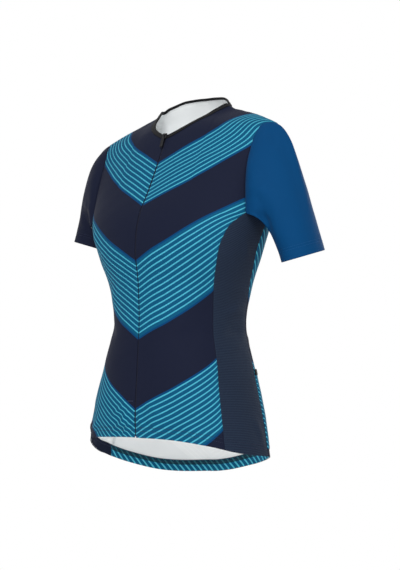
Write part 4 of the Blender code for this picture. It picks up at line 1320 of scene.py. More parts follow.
def show(name: str, mesh: bpy.types.Mesh, finishes: Sequence[bpy.types.Material], slot: str,
         stands_for: Sequence[str] = (), body: str = "garment") -> bpy.types.Object:
    """Put a piece in the scene on its body.

    Args:
        name: The piece's name.
        mesh: Its mesh.
        finishes: Its materials, in the order of their places.
        slot: The record's material slot; not used.
        stands_for: CAD nodes that it replaces.
        body: The body it rides on.

    Returns:
        The object.
    """
    if body == "garment":
        settle_neck(mesh)
    piece = bpy.data.objects.new(name, mesh)
    bpy.context.scene.collection.objects.link(piece)
    for finish in finishes:
        mesh.materials.append(finish)
    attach(piece, body)
    if stands_for:
        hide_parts(*stands_for)
    LOG.info("%s: %d faces", name, len(mesh.polygons))
    return piece


THREAD_LIFT = 0.0001


def sew(name: str, lines: Sequence[Grid], finish: bpy.types.Material, slot: str,
        stitching: Stitching = Stitching()) -> None:
    """Put a piece of stitches along lines in the scene."""
    show(name, stitching.mesh(name, lines), [finish], slot)


def show_panel(node: str, shell: Shell, finishes: Sequence[bpy.types.Material], slot: str,
               flat: tuple[float, float], area: float) -> None:
    """Put a cut panel of cloth in the scene in place of its CAD node.

    Args:
        node: The CAD node.
        shell: The panel's shell.
        finishes: Its materials, outside then inside.
        slot: The record's material slot; not used.
        flat: Width and height of the flat piece it is cut from, in metres; not used.
        area: Area of the cut piece, in square metres; not used.
    """
    piece = show("cloth_" + node, shell.mesh(node), finishes, slot, [node])


def raised(line: Grid, lift: float) -> Grid:
    """A line lifted off the cloth, with its outward directions."""
    places, away = line
    return places + away * lift, away


@dataclass
class Body:
    """Fronts, back and side panels: the cloth of the trunk."""

    cutting: Cutting
    creases: Creases
    wall: float = 0.0009
    across_fine: int = 6
    up_fine: int = 8
    across_margins: tuple[float, ...] = (0.06, 0.12, 0.20, 0.30)
    up_margins: tuple[float, ...] = (0.03, 0.06, 0.095, 0.16)
    zip_edge: float = 0.07
    hem_turn: float = 0.020
    stitch_rows: tuple[float, ...] = (0.010, 0.016)
    front_flat: tuple[float, float] = (0.250, 0.560)
    front_area: float = 0.098
    back_flat: tuple[float, float] = (0.420, 0.680)
    back_area: float = 0.215
    side_flat: tuple[float, float] = (0.125, 0.385)
    side_area: float = 0.040
    side_margins: tuple[float, ...] = (0.04, 0.08, 0.16, 0.28)
    back_stitch_row: float = 0.019
    crease_fade: tuple[float, float] = (0.002, 0.018)
    arm_fine: int = 8
    arm_down: int = 57
    arm_reach: float = 1.35
    front: dict[Side, Patch] = field(init=False, default_factory=dict)
    side: dict[Side, Patch] = field(init=False, default_factory=dict)
    back: Patch = field(init=False)
    rows: np.ndarray = field(init=False)
    half_cols: np.ndarray = field(init=False)
    arm_marks: np.ndarray = field(init=False)
    arm_outward: dict[Side, np.ndarray] = field(init=False, default_factory=dict)

    def __post_init__(self) -> None:
        """Cut and crease every panel."""
        cut = self.cutting
        self.rows = fine_steps(cut.rows, self.up_fine, self.up_margins)
        self.half_cols = fine_steps(cut.cols, self.across_fine, self.across_margins)
        ring = self.arm_fine * cut.arm_steps
        down = np.linspace(0.0, 1.0, self.arm_down)
        self.arm_marks = np.arange(ring + 1) / self.arm_fine
        body = cut.figure.outward(*cut.armhole(self.arm_marks[:-1]))
        body[0] = unit(body[0] * [1, 0, 1])
        for side in Side:
            both = body + grid_normals(cut.sleeve(side, ring, down))[:, 0]
            size = np.linalg.norm(both, axis=-1, keepdims=True)
            shared = both / size * np.minimum(2.0 / size, self.arm_reach)
            self.arm_outward[side] = np.concatenate([shared, shared[:1]])
            self.front[side] = self.front_patch(side)
            self.side[side] = self.side_patch(side)
        self.back = self.back_patch()

    def armhole_outward(self, side: Side, at: np.ndarray) -> np.ndarray:
        """Direction shared by body and sleeve at steps round the armhole."""
        shared = self.arm_outward[side]
        return np.stack([np.interp(at, self.arm_marks, shared[:, k]) for k in range(3)], -1)

    def arm_gap(self, patch: Patch, gap: np.ndarray) -> np.ndarray:
        """Distance from the armhole, which ends at the underarm row; gap is that from the edge."""
        run = patch.from_edges()["foot"]
        level = int(np.searchsorted(patch.rows, self.cutting.low_rows))
        return np.hypot(gap, np.maximum(run[:, level:level + 1] - run, 0.0))

    def crease(self, patch: Patch, seam_gap: np.ndarray) -> Patch:
        """The patch with its creases, which die out towards the armhole and the neck."""
        lift = self.creases.on_body(self.cutting.figure, patch.outer) * ease(seam_gap, *self.crease_fade)
        return Patch(patch.outer + patch.outward * lift[..., None], patch.outward, patch.cols, patch.rows)

    def half(self, back: bool, hand: int, cols: np.ndarray) -> Patch:
        """A left front, or the left half of the back; hand -1 has the right side's hem."""
        cut = self.cutting
        angle, height = cut.half_panel(back, hand, cols, self.rows)
        outward = cut.figure.outward(angle, height)
        up = self.rows >= cut.low_rows
        rise = self.rows[up] - cut.low_rows
        under = cut.arm_rows + cut.side_cols
        outward[-1, up] = self.armhole_outward(Side(hand), under + rise if back else cut.arm_rows - rise)
        seam = (cols >= cut.neck_cols) & (cols < cut.cols)
        outward[seam, -1] = unit(outward[seam, -1] * [1, 0, 1])
        return Patch(cut.figure.surface(angle, height), outward, cols, self.rows)

    def front_patch(self, side: Side) -> Patch:
        """A front, centre to side on the left and side to centre on the right."""
        cols = np.concatenate([[self.zip_edge], self.half_cols[self.half_cols > self.zip_edge]])
        patch = self.half(False, side.value, cols)
        patch = patch if side is Side.LEFT else patch.mirrored()
        gaps = patch.from_edges()
        arm = self.arm_gap(patch, gaps["right" if side is Side.LEFT else "left"])
        return self.crease(patch, np.minimum(arm, gaps["top"]))

    def back_patch(self) -> Patch:
        """The whole back, left armhole to right armhole."""
        left, right = (self.half(True, side.value, self.half_cols) for side in Side)
        flip = np.array([-1.0, 1.0, 1.0])
        outer = np.concatenate([left.outer[::-1], right.outer[1:] * flip])
        outward = np.concatenate([left.outward[::-1], right.outward[1:] * flip])
        cols = np.concatenate([-self.half_cols[::-1], self.half_cols[1:]])
        patch = Patch(outer, outward, cols, self.rows)
        gaps = patch.from_edges()
        arm = self.arm_gap(patch, np.minimum(gaps["left"], gaps["right"]))
        return self.crease(patch, np.minimum(arm, gaps["top"]))

    def side_patch(self, side: Side) -> Patch:
        """A side panel, front seam to back seam on the left, the other way on the right."""
        cut = self.cutting
        cols = fine_steps(cut.side_cols, self.up_fine, self.side_margins)
        rows = fine_steps(cut.low_rows, self.up_fine, self.up_margins)
        angle, height = cut.side_panel(side.value, cols, rows)
        outward = cut.figure.outward(angle, height)
        outward[:, -1] = self.armhole_outward(side, cut.arm_rows + cols)
        patch = Patch(cut.figure.surface(angle, height), outward, cols, rows)
        patch = patch if side is Side.LEFT else patch.mirrored()
        return self.crease(patch, patch.from_edges()["top"])

    def centred_uv(self, patch: Patch, zero: int) -> np.ndarray:
        """Coordinates in metres with the column numbered zero on the centre line."""
        up = patch.outer[:, :1, 2] + run_length(patch.outer[..., 1:], 1)
        uv = np.stack([run_length(patch.outer[..., :2], 0), up], axis=-1)
        uv[..., 0] -= uv[zero, :, 0]
        level = np.interp(self.cutting.low_rows, patch.rows, np.arange(len(patch.rows)))
        shift = self.cutting.figure.underarm - uv[:, int(round(level)), 1]
        uv[..., 1] += shift[:, None]
        return uv

    def build(self, prints: dict[str, list[bpy.types.Material]]) -> None:
        """Make the five panels.

        Args:
            prints: Materials of the fronts, the back and the sides, outside then inside.
        """
        seam, turned = Edge.SEAM, Edge.TURNED
        sewn = {"foot": turned, "top": seam, "left": seam, "right": seam}
        for side in Side:
            word = side.name.lower()
            centre, zero = ("left", 0) if side is Side.LEFT else ("right", -1)
            patch = self.front[side]
            shell = Shell(patch, self.wall, {**sewn, centre: turned}, self.centred_uv(patch, zero),
                          hem=self.hem_turn, stitch_rows=self.stitch_rows)
            show_panel("front_" + word, shell, prints["front"], "front_print", self.front_flat,
                       self.front_area)
            patch = self.side[side]
            shell = Shell(patch, self.wall, sewn, metres_uv(patch.outer), hem=self.hem_turn,
                          stitch_rows=self.stitch_rows)
            show_panel("side_" + word, shell, prints["side"], "side_mesh", self.side_flat, self.side_area)
        uv = self.centred_uv(self.back, len(self.back.cols) // 2)
        shell = Shell(self.back, self.wall, sewn, uv, stitch_rows=(self.back_stitch_row,))
        show_panel("back", shell, prints["back"], "back_print", self.back_flat, self.back_area)

    def hem_line(self, patch: Patch, height: float, margin: float) -> Grid:
        """A line this far above a panel's hem, and the outward directions along it."""
        gap = patch.from_edges()["foot"]
        rows = np.array([np.interp(height, gap[i], patch.rows) for i in range(len(patch.cols))])
        cols = np.clip(patch.cols, patch.cols[0] + margin, patch.cols[-1] - margin)
        return patch.read(cols, rows)


SLEEVE_SLOTS = {Side.LEFT: "sleeve_blue", Side.RIGHT: "sleeve_navy"}


@dataclass
class Sleeves:
    """Set-in short sleeves, each one piece with an underarm seam."""

    cutting: Cutting
    creases: Creases
    body: Body
    wall: float = 0.0009
    fine: int = 8
    rows: int = 56
    margins: tuple[float, ...] = (0.004, 0.009, 0.014)
    hem_turn: float = 0.018
    stitch_rows: tuple[float, ...] = (0.0145, 0.0185)
    crease_fade: tuple[float, float] = (0.002, 0.016)
    bend_fade: tuple[float, float] = (0.45, 0.92)
    flat: tuple[float, float] = (0.330, 0.225)
    area: float = 0.046
    patch: dict[Side, Patch] = field(init=False, default_factory=dict)

    def __post_init__(self) -> None:
        """Cut and crease both sleeves."""
        cut = self.cutting
        ring = cut.arm_steps * self.fine
        down = fine_steps(1.0, self.rows, self.margins)
        turn = (np.arange(ring + 1) + ring // 2) % ring
        for side in Side:
            grid = cut.sleeve(side, ring, down)
            outward = grid_normals(grid)
            outward[:, 0] = self.body.armhole_outward(side, np.arange(ring) / self.fine)
            gap = run_length(grid, 1)
            bend = (np.roll(outward, 3, axis=0) * np.roll(outward, -3, axis=0)).sum(axis=-1)
            lift = self.creases.on_sleeve(grid, self.fine, side.value) * ease(gap, *self.crease_fade)
            lift = lift * ease(bend, *self.bend_fade)
            outer = (grid + outward * lift[..., None])[turn]
            patch = Patch(outer, outward[turn], np.arange(ring + 1) / self.fine, down)
            self.patch[side] = patch if side is Side.LEFT else patch.mirrored()

    def build(self, finishes: dict[Side, list[bpy.types.Material]]) -> None:
        """Make both sleeves from their outside and inside materials."""
        edges = {"foot": Edge.SEAM, "top": Edge.TURNED, "left": Edge.PLAIN, "right": Edge.PLAIN}
        for side in Side:
            patch = self.patch[side]
            uv = metres_uv(patch.outer)
            uv[..., 1] = -run_length(patch.outer, 1)
            shell = Shell(patch, self.wall, edges, uv, hem=self.hem_turn,
                          stitch_rows=self.stitch_rows, hem_edge="top")
            show_panel("sleeve_" + side.name.lower(), shell, finishes[side], SLEEVE_SLOTS[side], self.flat,
                       self.area)

    def cuff_line(self, side: Side, height: float) -> Grid:
        """A line this far above the cuff's edge, and the outward directions along it."""
        patch = self.patch[side]
        gap = patch.from_edges()["top"]
        rows = np.array([np.interp(-height, -gap[i], patch.rows) for i in range(len(patch.cols))])
        return patch.read(patch.cols, rows)


@dataclass
class NeckBinding:
    """Elastic folded over the neck edge, open at the zip."""

    cutting: Cutting
    leg: float = 0.0068
    wall: float = 0.0009
    opening: float = 0.0016
    cloth: float = 0.0009
    gap: float = 0.0002
    fine: int = 8
    stitch_at: float = 0.0053
    inner_share: float = 0.45
    behind: tuple[float, float] = (-0.03, 0.045)
    ridge_reach: float = 0.012
    ridge_width: float = 0.12
    flat: tuple[float, float] = (0.0185, 0.430)

    def stations(self) -> tuple[np.ndarray, np.ndarray, np.ndarray]:
        """Angles, heights and sides of the neck edge: zip, left neck point, back, round to the zip.

        Returns:
            Angles, heights and the sign of X for each station.
        """
        cut = self.cutting
        at = np.linspace(0.0, cut.neck_cols, cut.neck_cols * self.fine + 1)
        front = np.array(cut.neck(False, at))
        back = np.array(cut.neck(True, at[:-1]))[:, ::-1]
        left = np.concatenate([front, back], axis=1)
        half = left.shape[1]
        both = np.concatenate([left, left[:, -2::-1]], axis=1)
        sign = np.where(np.arange(both.shape[1]) < half, 1.0, -1.0)
        return both[0], both[1], sign

    def settle(self, angle: np.ndarray, height: np.ndarray, target: np.ndarray) -> Grid:
        """Angles and heights of the surface places nearest to targets."""
        figure = self.cutting.figure
        turn, drop, pace = 0.05, 0.0005, 0.8
        for _ in range(8):
            base = figure.surface(angle, height)
            by_angle = (figure.surface(angle + turn, height) - base) / turn
            by_height = (base - figure.surface(angle, height - drop)) / drop
            rel = target - base
            aa, hh = (by_angle ** 2).sum(-1), (by_height ** 2).sum(-1)
            ah = (by_angle * by_height).sum(-1)
            ra, rh = (rel * by_angle).sum(-1), (rel * by_height).sum(-1)
            det = np.maximum(aa * hh - ah * ah, 1e-12)
            angle = angle + pace * (ra * hh - rh * ah) / det
            height = np.minimum(height + pace * (rh * aa - ra * ah) / det, figure.rise)
        return angle, height

    def on_ridge(self, height: np.ndarray) -> np.ndarray:
        """How nearly places are on the shoulder's ridge, 0 to 1, one per row."""
        return np.exp(-((height - self.cutting.figure.rise) / self.ridge_reach) ** 2)[:, None]

    def edge_frame(self) -> tuple[np.ndarray, ...]:
        """The edge's angles, heights and mirror, its places, and directions outward and away."""
        figure = self.cutting.figure
        angle, height, sign = self.stations()
        flip = np.stack([sign, np.ones_like(sign), np.ones_like(sign)], axis=-1)
        edge = figure.surface(angle, height) * flip
        edge[0, 0], edge[-1, 0] = self.opening, -self.opening
        outward = figure.outward(angle, height) * flip
        ridge = self.on_ridge(height)
        outward = unit(outward * (1.0 - ridge * [0.0, 1.0, 0.0]))
        tangent = unit(np.gradient(edge, axis=0))
        tangent[0] = tangent[-1] = [1.0, 0.0, 0.0]
        away = unit(np.cross(outward, tangent))
        away = away * np.sign(away[0, 2]) * -1.0
        return angle, height, flip, edge, outward, away

    def place(self, down: float, lift: float, back_share: float = 1.0) -> Grid:
        """Line round the neck, so far down from the edge and lifted off the cloth.

        Args:
            down: Distance from the edge; negative stands above it.
            lift: Distance off the cloth's outside; negative is inward.
            back_share: How much of the distance down is kept behind the neck.

        Returns:
            The places and the outward directions.
        """
        angle, height, flip, edge, outward, away = self.edge_frame()
        behind = ease(edge[:, 1:2], *self.behind)
        target = edge + away * down * (1.0 - (1.0 - back_share) * behind)
        if down <= 0.0:
            return target + outward * lift, outward
        a, h = self.settle(angle, height, target * flip)
        on = self.cutting.figure.surface(a, h) * flip
        out = self.cutting.figure.outward(a, h) * flip
        ridge = self.on_ridge(height)
        out = unit(out * (1.0 - ridge) + outward * ridge)
        on = on * (1.0 - ridge) + target * ridge - outward * ridge * down * down / self.ridge_width
        on[0, 0], on[-1, 0] = self.opening, -self.opening
        return on + out * lift, out

    def build(self, finish: bpy.types.Material, thread: bpy.types.Material) -> None:
        """Make the binding and its stitches."""
        leg, gap, deep = self.leg, self.gap, self.cloth + self.gap
        out, far = gap + self.wall, deep + self.wall
        contour = [
            (leg, gap), (leg + 0.0002, out - 0.0003), (leg - 0.0002, out + 0.0002),
            (leg - 0.0011, out + 0.0002), (leg * 0.6, out), (leg * 0.3, out), (0.0008, out + 0.0001),
            (-0.0003, out - 0.0002), (-0.0010, out - 0.0008), (-0.0012, -0.5 * self.cloth),
            (-0.0010, -far + 0.0008), (-0.0003, -far + 0.0002), (0.0008, -far - 0.0001),
            (leg * 0.5, -far), (leg - 0.0011, -far - 0.0002), (leg, -far), (leg + 0.0001, -deep),
            (leg * 0.5, -deep), (0.0004, -deep), (-0.0004, -0.5 * self.cloth), (0.0004, gap),
            (leg * 0.5, gap),
        ]
        shares = [self.inner_share if s > 0.0 and h < -self.cloth else 1.0 for s, h in contour]
        sections = np.stack([self.place(*at, share)[0] for at, share in zip(contour, shares)], axis=1)
        binding = show("binding_neck", section_mesh("binding_neck", sections, 0.0009), [finish],
                       "elastic_binding", ["neck_binding"])
        line = self.place(self.stitch_at, out + 0.0001)
        stitching = Stitching(pitch=0.0026, length=0.0019, radius=0.0002)
        sew("stitches_neck", [line], thread, "elastic_binding", stitching)


@dataclass
class Pocket:
    """Rear pocket laid on the lower back, with an elastic mouth and two rows of dividing stitches."""

    body: Body
    mouth: float = -0.4585
    tilt: float = 0.068
    foot: float = 0.35
    wall: float = 0.0009
    gape: float = 0.0030
    sag: float = 0.0012
    clear: float = 0.0003
    dividers: tuple[float, ...] = (-3.7, 3.7)
    flat: tuple[float, float] = (0.330, 0.165)
    edge_flat: tuple[float, float] = (0.0105, 0.330)

    def rows_at(self, cols: np.ndarray, above: float) -> np.ndarray:
        """Row of the back at the pocket's mouth, or this much above it, at columns."""
        back = self.body.back
        low = self.body.cutting.low_rows
        third = back.at(cols, np.full(len(cols), low / 3.0))[:, 0]
        target = self.mouth + self.tilt * third + above
        marks = np.linspace(2.0, 8.0, 121)
        heights = back.at(cols[:, None], marks[None, :])[:, :, 2]
        return np.array([np.interp(t, row, marks) for t, row in zip(target, heights)])

    def gap(self, cols: np.ndarray, share: np.ndarray) -> np.ndarray:
        """Lift of the pocket off the back; it gapes between the dividers and sags a little."""
        side = np.sin(math.pi * (cols - cols[0]) / (cols[-1] - cols[0]))
        held = np.ones_like(cols)
        for divider in self.dividers:
            held = held * (1.0 - 0.75 * np.exp(-((cols - divider) / 0.55) ** 2))
        sag = self.sag * np.sin(math.pi * share) ** 2
        open_ = (self.gape * side * held)[:, None] * share ** 1.6
        return self.clear + open_ + (side * held)[:, None] * sag

    def columns(self) -> np.ndarray:
        """Columns of the pocket, just inside the long seams."""
        cols = self.body.back.cols
        return np.concatenate([[cols[0] + 0.05], cols[(cols > cols[0] + 0.1) & (cols < cols[-1] - 0.1)],
                               [cols[-1] - 0.05]])

    def build(self, cloth: list[bpy.types.Material], edge: bpy.types.Material,
              thread: bpy.types.Material) -> None:
        """Make the pocket, its elastic and its stitches."""
        cols = self.columns()
        mouth = self.rows_at(cols, 0.0)
        share = np.concatenate([[0.0, 0.012, 0.024], np.linspace(0.04, 0.97, 40), [0.985, 1.0]])
        rows = self.foot + (mouth - self.foot)[:, None] * share[None, :]
        points, outward = self.body.back.read(cols[:, None], rows)
        outer = points + outward * (self.gap(cols, share[None, :]) + self.wall)[..., None]
        patch = Patch(outer, outward, cols, share)
        uv = metres_uv(outer)
        uv[..., 0] -= uv[len(cols) // 2, :, 0]
        edges = {"foot": Edge.SEAM, "top": Edge.PLAIN, "left": Edge.SEAM, "right": Edge.SEAM}
        pocket = show("cloth_pocket", Shell(patch, self.wall, edges, uv).mesh("pocket"), cloth,
                      "back_print", ["pocket"])
        self.build_edge(cols, edge)
        lines = []
        for divider in self.dividers:
            up = np.linspace(0.02, 1.0, 60)
            for shift in (-0.06, 0.06):
                lines.append(raised(patch.read(np.full(len(up), divider + shift), up), THREAD_LIFT))
        sew("stitches_pocket", lines, thread, "back_print")

    def build_edge(self, cols: np.ndarray, finish: bpy.types.Material) -> None:
        """Elastic along the mouth: a flat tube of cloth with rounded edges."""
        lift = self.gap(cols, np.array([[1.0]]))[:, 0]
        contour = ((-0.0008, 0.0), (-0.0012, 0.0006), (-0.0008, 0.0015), (0.0010, 0.0018), (0.0042, 0.0017),
                   (0.0070, 0.0018), (0.0084, 0.0014), (0.0087, 0.0007), (0.0083, 0.0001),
                   (0.0042, -0.0001))
        sections = []
        for above, off in contour:
            rows = self.rows_at(cols, above)
            sections.append(self.body.back.at(cols, rows, lift + off))
        mesh = section_mesh("edge_pocket", np.stack(sections, axis=1), 0.0013)
        piece = show("edge_pocket", mesh, [finish], "elastic_binding", ["pocket_binding"])


@dataclass
class HemFacing:
    """Facing turned up inside the hem of the sides and back, stitched along its top."""

    body: Body
    height: float = 0.020
    fold: float = 0.0115
    wall: float = 0.0008
    gap: float = 0.0002
    stitch_rows: tuple[float, float] = (0.015, 0.019)
    flat: tuple[float, float] = (0.620, 0.021)

    def strip(self, share: np.ndarray) -> Grid:
        """Places and outward directions at heights above the hem, left front seam to right."""
        side, back = self.body.side, self.body.back
        points, away = [], []
        for panel in (side[Side.LEFT], back, side[Side.RIGHT]):
            gap = panel.from_edges()["foot"]
            rows = np.array([np.interp(share, one, panel.rows) for one in gap])
            inner = slice(1 if panel is side[Side.LEFT] else 0, -1)
            found = panel.read(panel.cols[:, None], rows)
            points.append(found[0][inner])
            away.append(found[1][inner])
        return np.concatenate(points), np.concatenate(away)

    def build(self, finish: bpy.types.Material, thread: bpy.types.Material) -> None:
        """Make the facing and its two rows of stitches."""
        low = (0.0004, 0.0012, 0.004, 0.008, self.fold - 0.0003, self.fold + 0.0003)
        share = np.array([*low, *self.stitch_rows, self.height])
        points, outward = self.strip(share)
        step = np.where(np.abs(share - self.fold) < 0.0008, 0.00015, 0.0)
        deep = self.body.wall * HEM_LAYERS + self.gap + step
        inside = points - outward * deep[None, :, None]
        patch = Patch(inside, outward, np.arange(len(inside)), share)
        uv = np.stack(np.broadcast_arrays(run_length(inside, 0), share[None, :]), axis=-1)
        edges = {name: Edge.TURNED for name in ("foot", "top")}
        shell = Shell(patch, self.wall, {**edges, "left": Edge.PLAIN, "right": Edge.PLAIN}, uv, pucker=0.0)
        piece = show("facing_hem", shell.mesh("facing"), [finish, finish], "facing_print", ["hem_facing"])
        rows = np.searchsorted(share, self.stitch_rows)
        lines = [raised((inside[:, k], -outward[:, k]), self.wall + THREAD_LIFT) for k in rows]
        sew("stitches_facing", lines, thread, "facing_print")


@dataclass
class Overlock:
    """Thread sewn over the cut edges inside every seam: a soft ribbon."""

    body: Body
    sleeves: Sleeves
    width: float = 0.0042
    height: float = 0.0008
    deep: float = 0.0013
    bend_fade: tuple[float, float] = (0.55, 0.97)
    side_trim: tuple[int, int] = (9, -6)
    under_trim: tuple[int, int] = (6, -3)
    neck_col: float = 6.6
    arm_shift: float = 0.0006

    def ribbon(self, line: np.ndarray, away: np.ndarray, wall: float) -> np.ndarray:
        """Sections of a ribbon on the inside of a seam line."""
        along = unit(np.gradient(line, axis=0))
        across = unit(np.cross(away, along))
        base = line - away * (wall + self.deep)
        turned = (np.roll(along, 4, axis=0) * np.roll(along, -4, axis=0)).sum(axis=-1)
        half = (0.5 * self.width * ease(turned, *self.bend_fade) + 0.0003)[:, None]
        shape = ((-half, 0.0003), (-0.9 * half, -0.0004), (-0.4 * half, -self.height),
                 (0.4 * half, -self.height), (0.9 * half, -0.0004), (half, 0.0003))
        return np.stack([base + across * x + away * y for x, y in shape], axis=1)

    def lines(self) -> list[Grid]:
        """Every seam line with its outward directions."""
        found = []
        up, under = slice(*self.side_trim), slice(*self.under_trim)
        for side in Side:
            panel, front, sleeve = self.body.side[side], self.body.front[side], self.sleeves.patch[side]
            found += [(panel.outer[edge, up], panel.outward[edge, up]) for edge in (0, -1)]
            cols = front.cols if side is Side.LEFT else self.body.cutting.cols - front.cols
            neck = cols >= self.neck_col
            found.append((front.outer[neck, -1], front.outward[neck, -1]))
            found.append(raised((sleeve.outer[:, 0], sleeve.outward[:, 0]), -self.arm_shift))
            found.append((sleeve.outer[0, under], sleeve.outward[0, under]))
        return found

    def build(self, finish: bpy.types.Material) -> None:
        """Make the ribbons as one piece."""
        wall = self.body.wall
        parts = [section_mesh("ribbon", self.ribbon(*line, wall), 0.001) for line in self.lines()]
        show("overlock_inside", joined("overlock", parts), [finish], "side_mesh")


@dataclass
class Zip:
    """Full-length zip behind the two fronts: tape, coil, slider and pull."""

    body: Body
    tape_half: float = 0.0130
    tape_wall: float = 0.0008
    gap: float = 0.0004
    foot_row: float = 0.05
    top_row: float = 20.9
    coil_pitch: float = 0.0013
    coil_radius: float = 0.00042
    coil_half: float = 0.0024
    coil_end: float = 0.002
    pull_width: float = 0.0056
    pull_length: float = 0.0240
    pull_wall: float = 0.0016
    rib: float = 0.0019
    eye_hole: float = 0.0008
    eye_radius: float = 0.0013
    eye_width: float = 0.0026
    tack_row: float = 1.75
    tape_flat: tuple[float, float] = (0.026, 0.475)

    def behind(self, side: Side, across: float, rows: np.ndarray, deep: float) -> Grid:
        """Line behind a front, this far from the centre and this deep behind its inside."""
        patch = self.body.front[side]
        last = self.body.cutting.cols
        cols = (0.0, 1.0) if side is Side.LEFT else (float(last), last - 1.0)
        zero, one = patch.at(cols[0], rows), patch.at(cols[1], rows)
        share = across / np.linalg.norm(one - zero, axis=-1)
        col = share if side is Side.LEFT else last - share
        points, outward = patch.read(col, rows)
        return points - outward * (self.body.wall + deep), outward

    def build_tape(self, finish: bpy.types.Material) -> None:
        """The woven tape."""
        rows = np.linspace(self.foot_row, self.top_row, 150)
        marks = [(Side.RIGHT, share) for share in (1.0, 0.8, 0.5, 0.2)]
        marks += [(Side.LEFT, share) for share in (0.0, 0.2, 0.5, 0.8, 1.0)]
        stations = []
        for deep in (self.gap, self.gap + self.tape_wall):
            line = [self.behind(side, self.tape_half * share, rows, deep)[0] for side, share in marks]
            stations += line if deep == self.gap else line[::-1]
        mesh = section_mesh("zip_tape_cloth", np.stack(stations, axis=1), 0.0033)
        tape = show("tape_zip", mesh, [finish], "zip_tape", ["zip_tape"])

    def build_coil(self, finish: bpy.types.Material) -> None:
        """The nylon coil inside: interlocked turns, each a short bar across."""
        rows = np.linspace(self.foot_row + 0.1, self.top_row - 0.2, 900)
        deep = self.gap + self.tape_wall + 0.5 * self.coil_radius
        left, away = self.behind(Side.LEFT, self.coil_half, rows, deep)
        right = self.behind(Side.RIGHT, self.coil_half, rows, deep)[0]
        run = run_length(0.5 * (left + right), 0)
        marks = np.arange(self.coil_end, run[-1] - self.coil_end, self.coil_pitch)
        index = np.searchsorted(run, marks)
        bar = Stitching(pitch=0.0046, length=0.0044, radius=self.coil_radius)
        lines = [(np.array([right[k], left[k]]), np.array([-away[k], -away[k]])) for k in index]
        sew("coil_zip", lines, finish, "zip_tape", bar)

    def build_tack(self, finish: bpy.types.Material) -> None:
        """Bar tack across the foot of the zip."""
        lines = []
        patch = self.body.front[Side.RIGHT]
        last = self.body.cutting.cols
        cols = np.linspace(last - 0.95, last - 0.1, 12)
        for k in range(5):
            rows = np.full(len(cols), self.tack_row + 0.012 * k)
            lines.append(raised(patch.read(cols, rows), 2.0 * THREAD_LIFT))
        stitching = Stitching(pitch=0.0024, length=0.0021, radius=0.00026)
        sew("tack_zip", lines, finish, "front_print", stitching)

    def pull_frame(self) -> Matrix:
        """Frame of the hanging pull: pin at the origin, Y outward, the tab along -Z."""
        joint = frame["joints"][0]
        pin = Vector(joint["pos_m"])
        corners = np.array([v.co for v in frame["nodes"]["zip_pull"].data.vertices], float)
        up = (pin - Vector(corners.mean(axis=0))).normalized()
        across = Vector((1.0, 0.0, 0.0)) * (-1.0 if up.z > 0 else 1.0)
        out = up.cross(across).normalized()
        rows = [[across[k], out[k], up[k], pin[k]] for k in range(3)]
        return Matrix(rows + [[0.0, 0.0, 0.0, 1.0]])

    def tab_sections(self) -> np.ndarray:
        """Sections of the tab: a neck, then a ribbed grip inside a raised rim."""
        half, thick = 0.5 * self.pull_width, 0.5 * self.pull_wall
        ends = ((0.0007, 0.38, 0.72), (0.0030, 0.42, 0.85), (0.0050, 0.46, 0.92), (0.0063, 0.72, 1.0),
                (0.0074, 0.93, 1.0), (0.0086, 1.0, 1.0))
        grip = np.linspace(0.0090, self.pull_length - 0.0022, 49)
        foot = ((self.pull_length - 0.0016, 0.97, 1.0), (self.pull_length - 0.0007, 0.84, 0.9),
                (self.pull_length - 0.0001, 0.62, 0.6))
        stations = list(ends) + [(d, 1.0, 1.0) for d in grip] + list(foot)
        marks = np.array([-1.0, -0.97, -0.86, -0.72, -0.62, -0.3, 0.0, 0.3, 0.62, 0.72, 0.86, 0.97, 1.0])
        rim = np.array([0.0, 0.6, 1.0, 1.0, 0.0, 0.0, 0.0, 0.0, 0.0, 1.0, 1.0, 0.6, 0.0])
        inner = np.array([0, 0, 0, 0, 1, 1, 1, 1, 1, 0, 0, 0, 0], float)
        made = []
        for down, wide, deep in stations:
            on_grip = grip[0] < down < grip[-1]
            rib = 0.62 + 0.34 * (0.5 + 0.5 * math.tanh(4.0 * math.sin(2.0 * math.pi * down / self.rib)))
            level = rim + inner * (rib if on_grip else 1.0)
            top = np.stack([marks * half * wide, level * thick * deep, np.full(13, -down)], axis=-1)
            low = top[-2:0:-1] * [1.0, -1.0, 1.0]
            made.append(np.concatenate([top, low]))
        return np.array(made)

    def eye_sections(self) -> np.ndarray:
        """Sections of the loop round the pin."""
        turn = np.radians(np.linspace(-65.0, 245.0, 22))
        half = 0.5 * self.eye_width
        shape = ((-half, 0.55), (-half * 0.8, 1.0), (half * 0.8, 1.0), (half, 0.55), (half * 0.8, 0.0),
                 (-half * 0.8, 0.0))
        ring = []
        for t in turn:
            out = np.array([0.0, math.cos(t), math.sin(t)])
            ring.append([out * (self.eye_hole + (self.eye_radius - self.eye_hole) * s) + [x, 0.0, 0.0]
                         for x, s in shape])
        return np.array(ring)

    def build_pull(self, finish: bpy.types.Material) -> None:
        """The moulded pull, hanging on the slider's pin."""
        sections = (self.tab_sections(), self.eye_sections())
        mesh = joined("pull_zip", [section_mesh("part", one, 0.0005) for one in sections])
        mesh.transform(self.pull_frame())
        show("pull_zip", mesh, [finish], "pull_rubber", ["zip_pull"], "pull")

    def build(self, tape: bpy.types.Material, coil: bpy.types.Material, enamel: bpy.types.Material,
              rubber: bpy.types.Material, thread: bpy.types.Material) -> None:
        """Make the tape, coil, bar tack and pull, and finish the slider."""
        self.build_tape(tape)
        self.build_coil(coil)
        self.build_tack(thread)
        self.build_pull(rubber)
        slider = frame["nodes"]["zip_slider"]
        slider.material_slots[0].material = enamel
        LOG.info("slider keeps its solid, %d faces", len(slider.data.polygons))


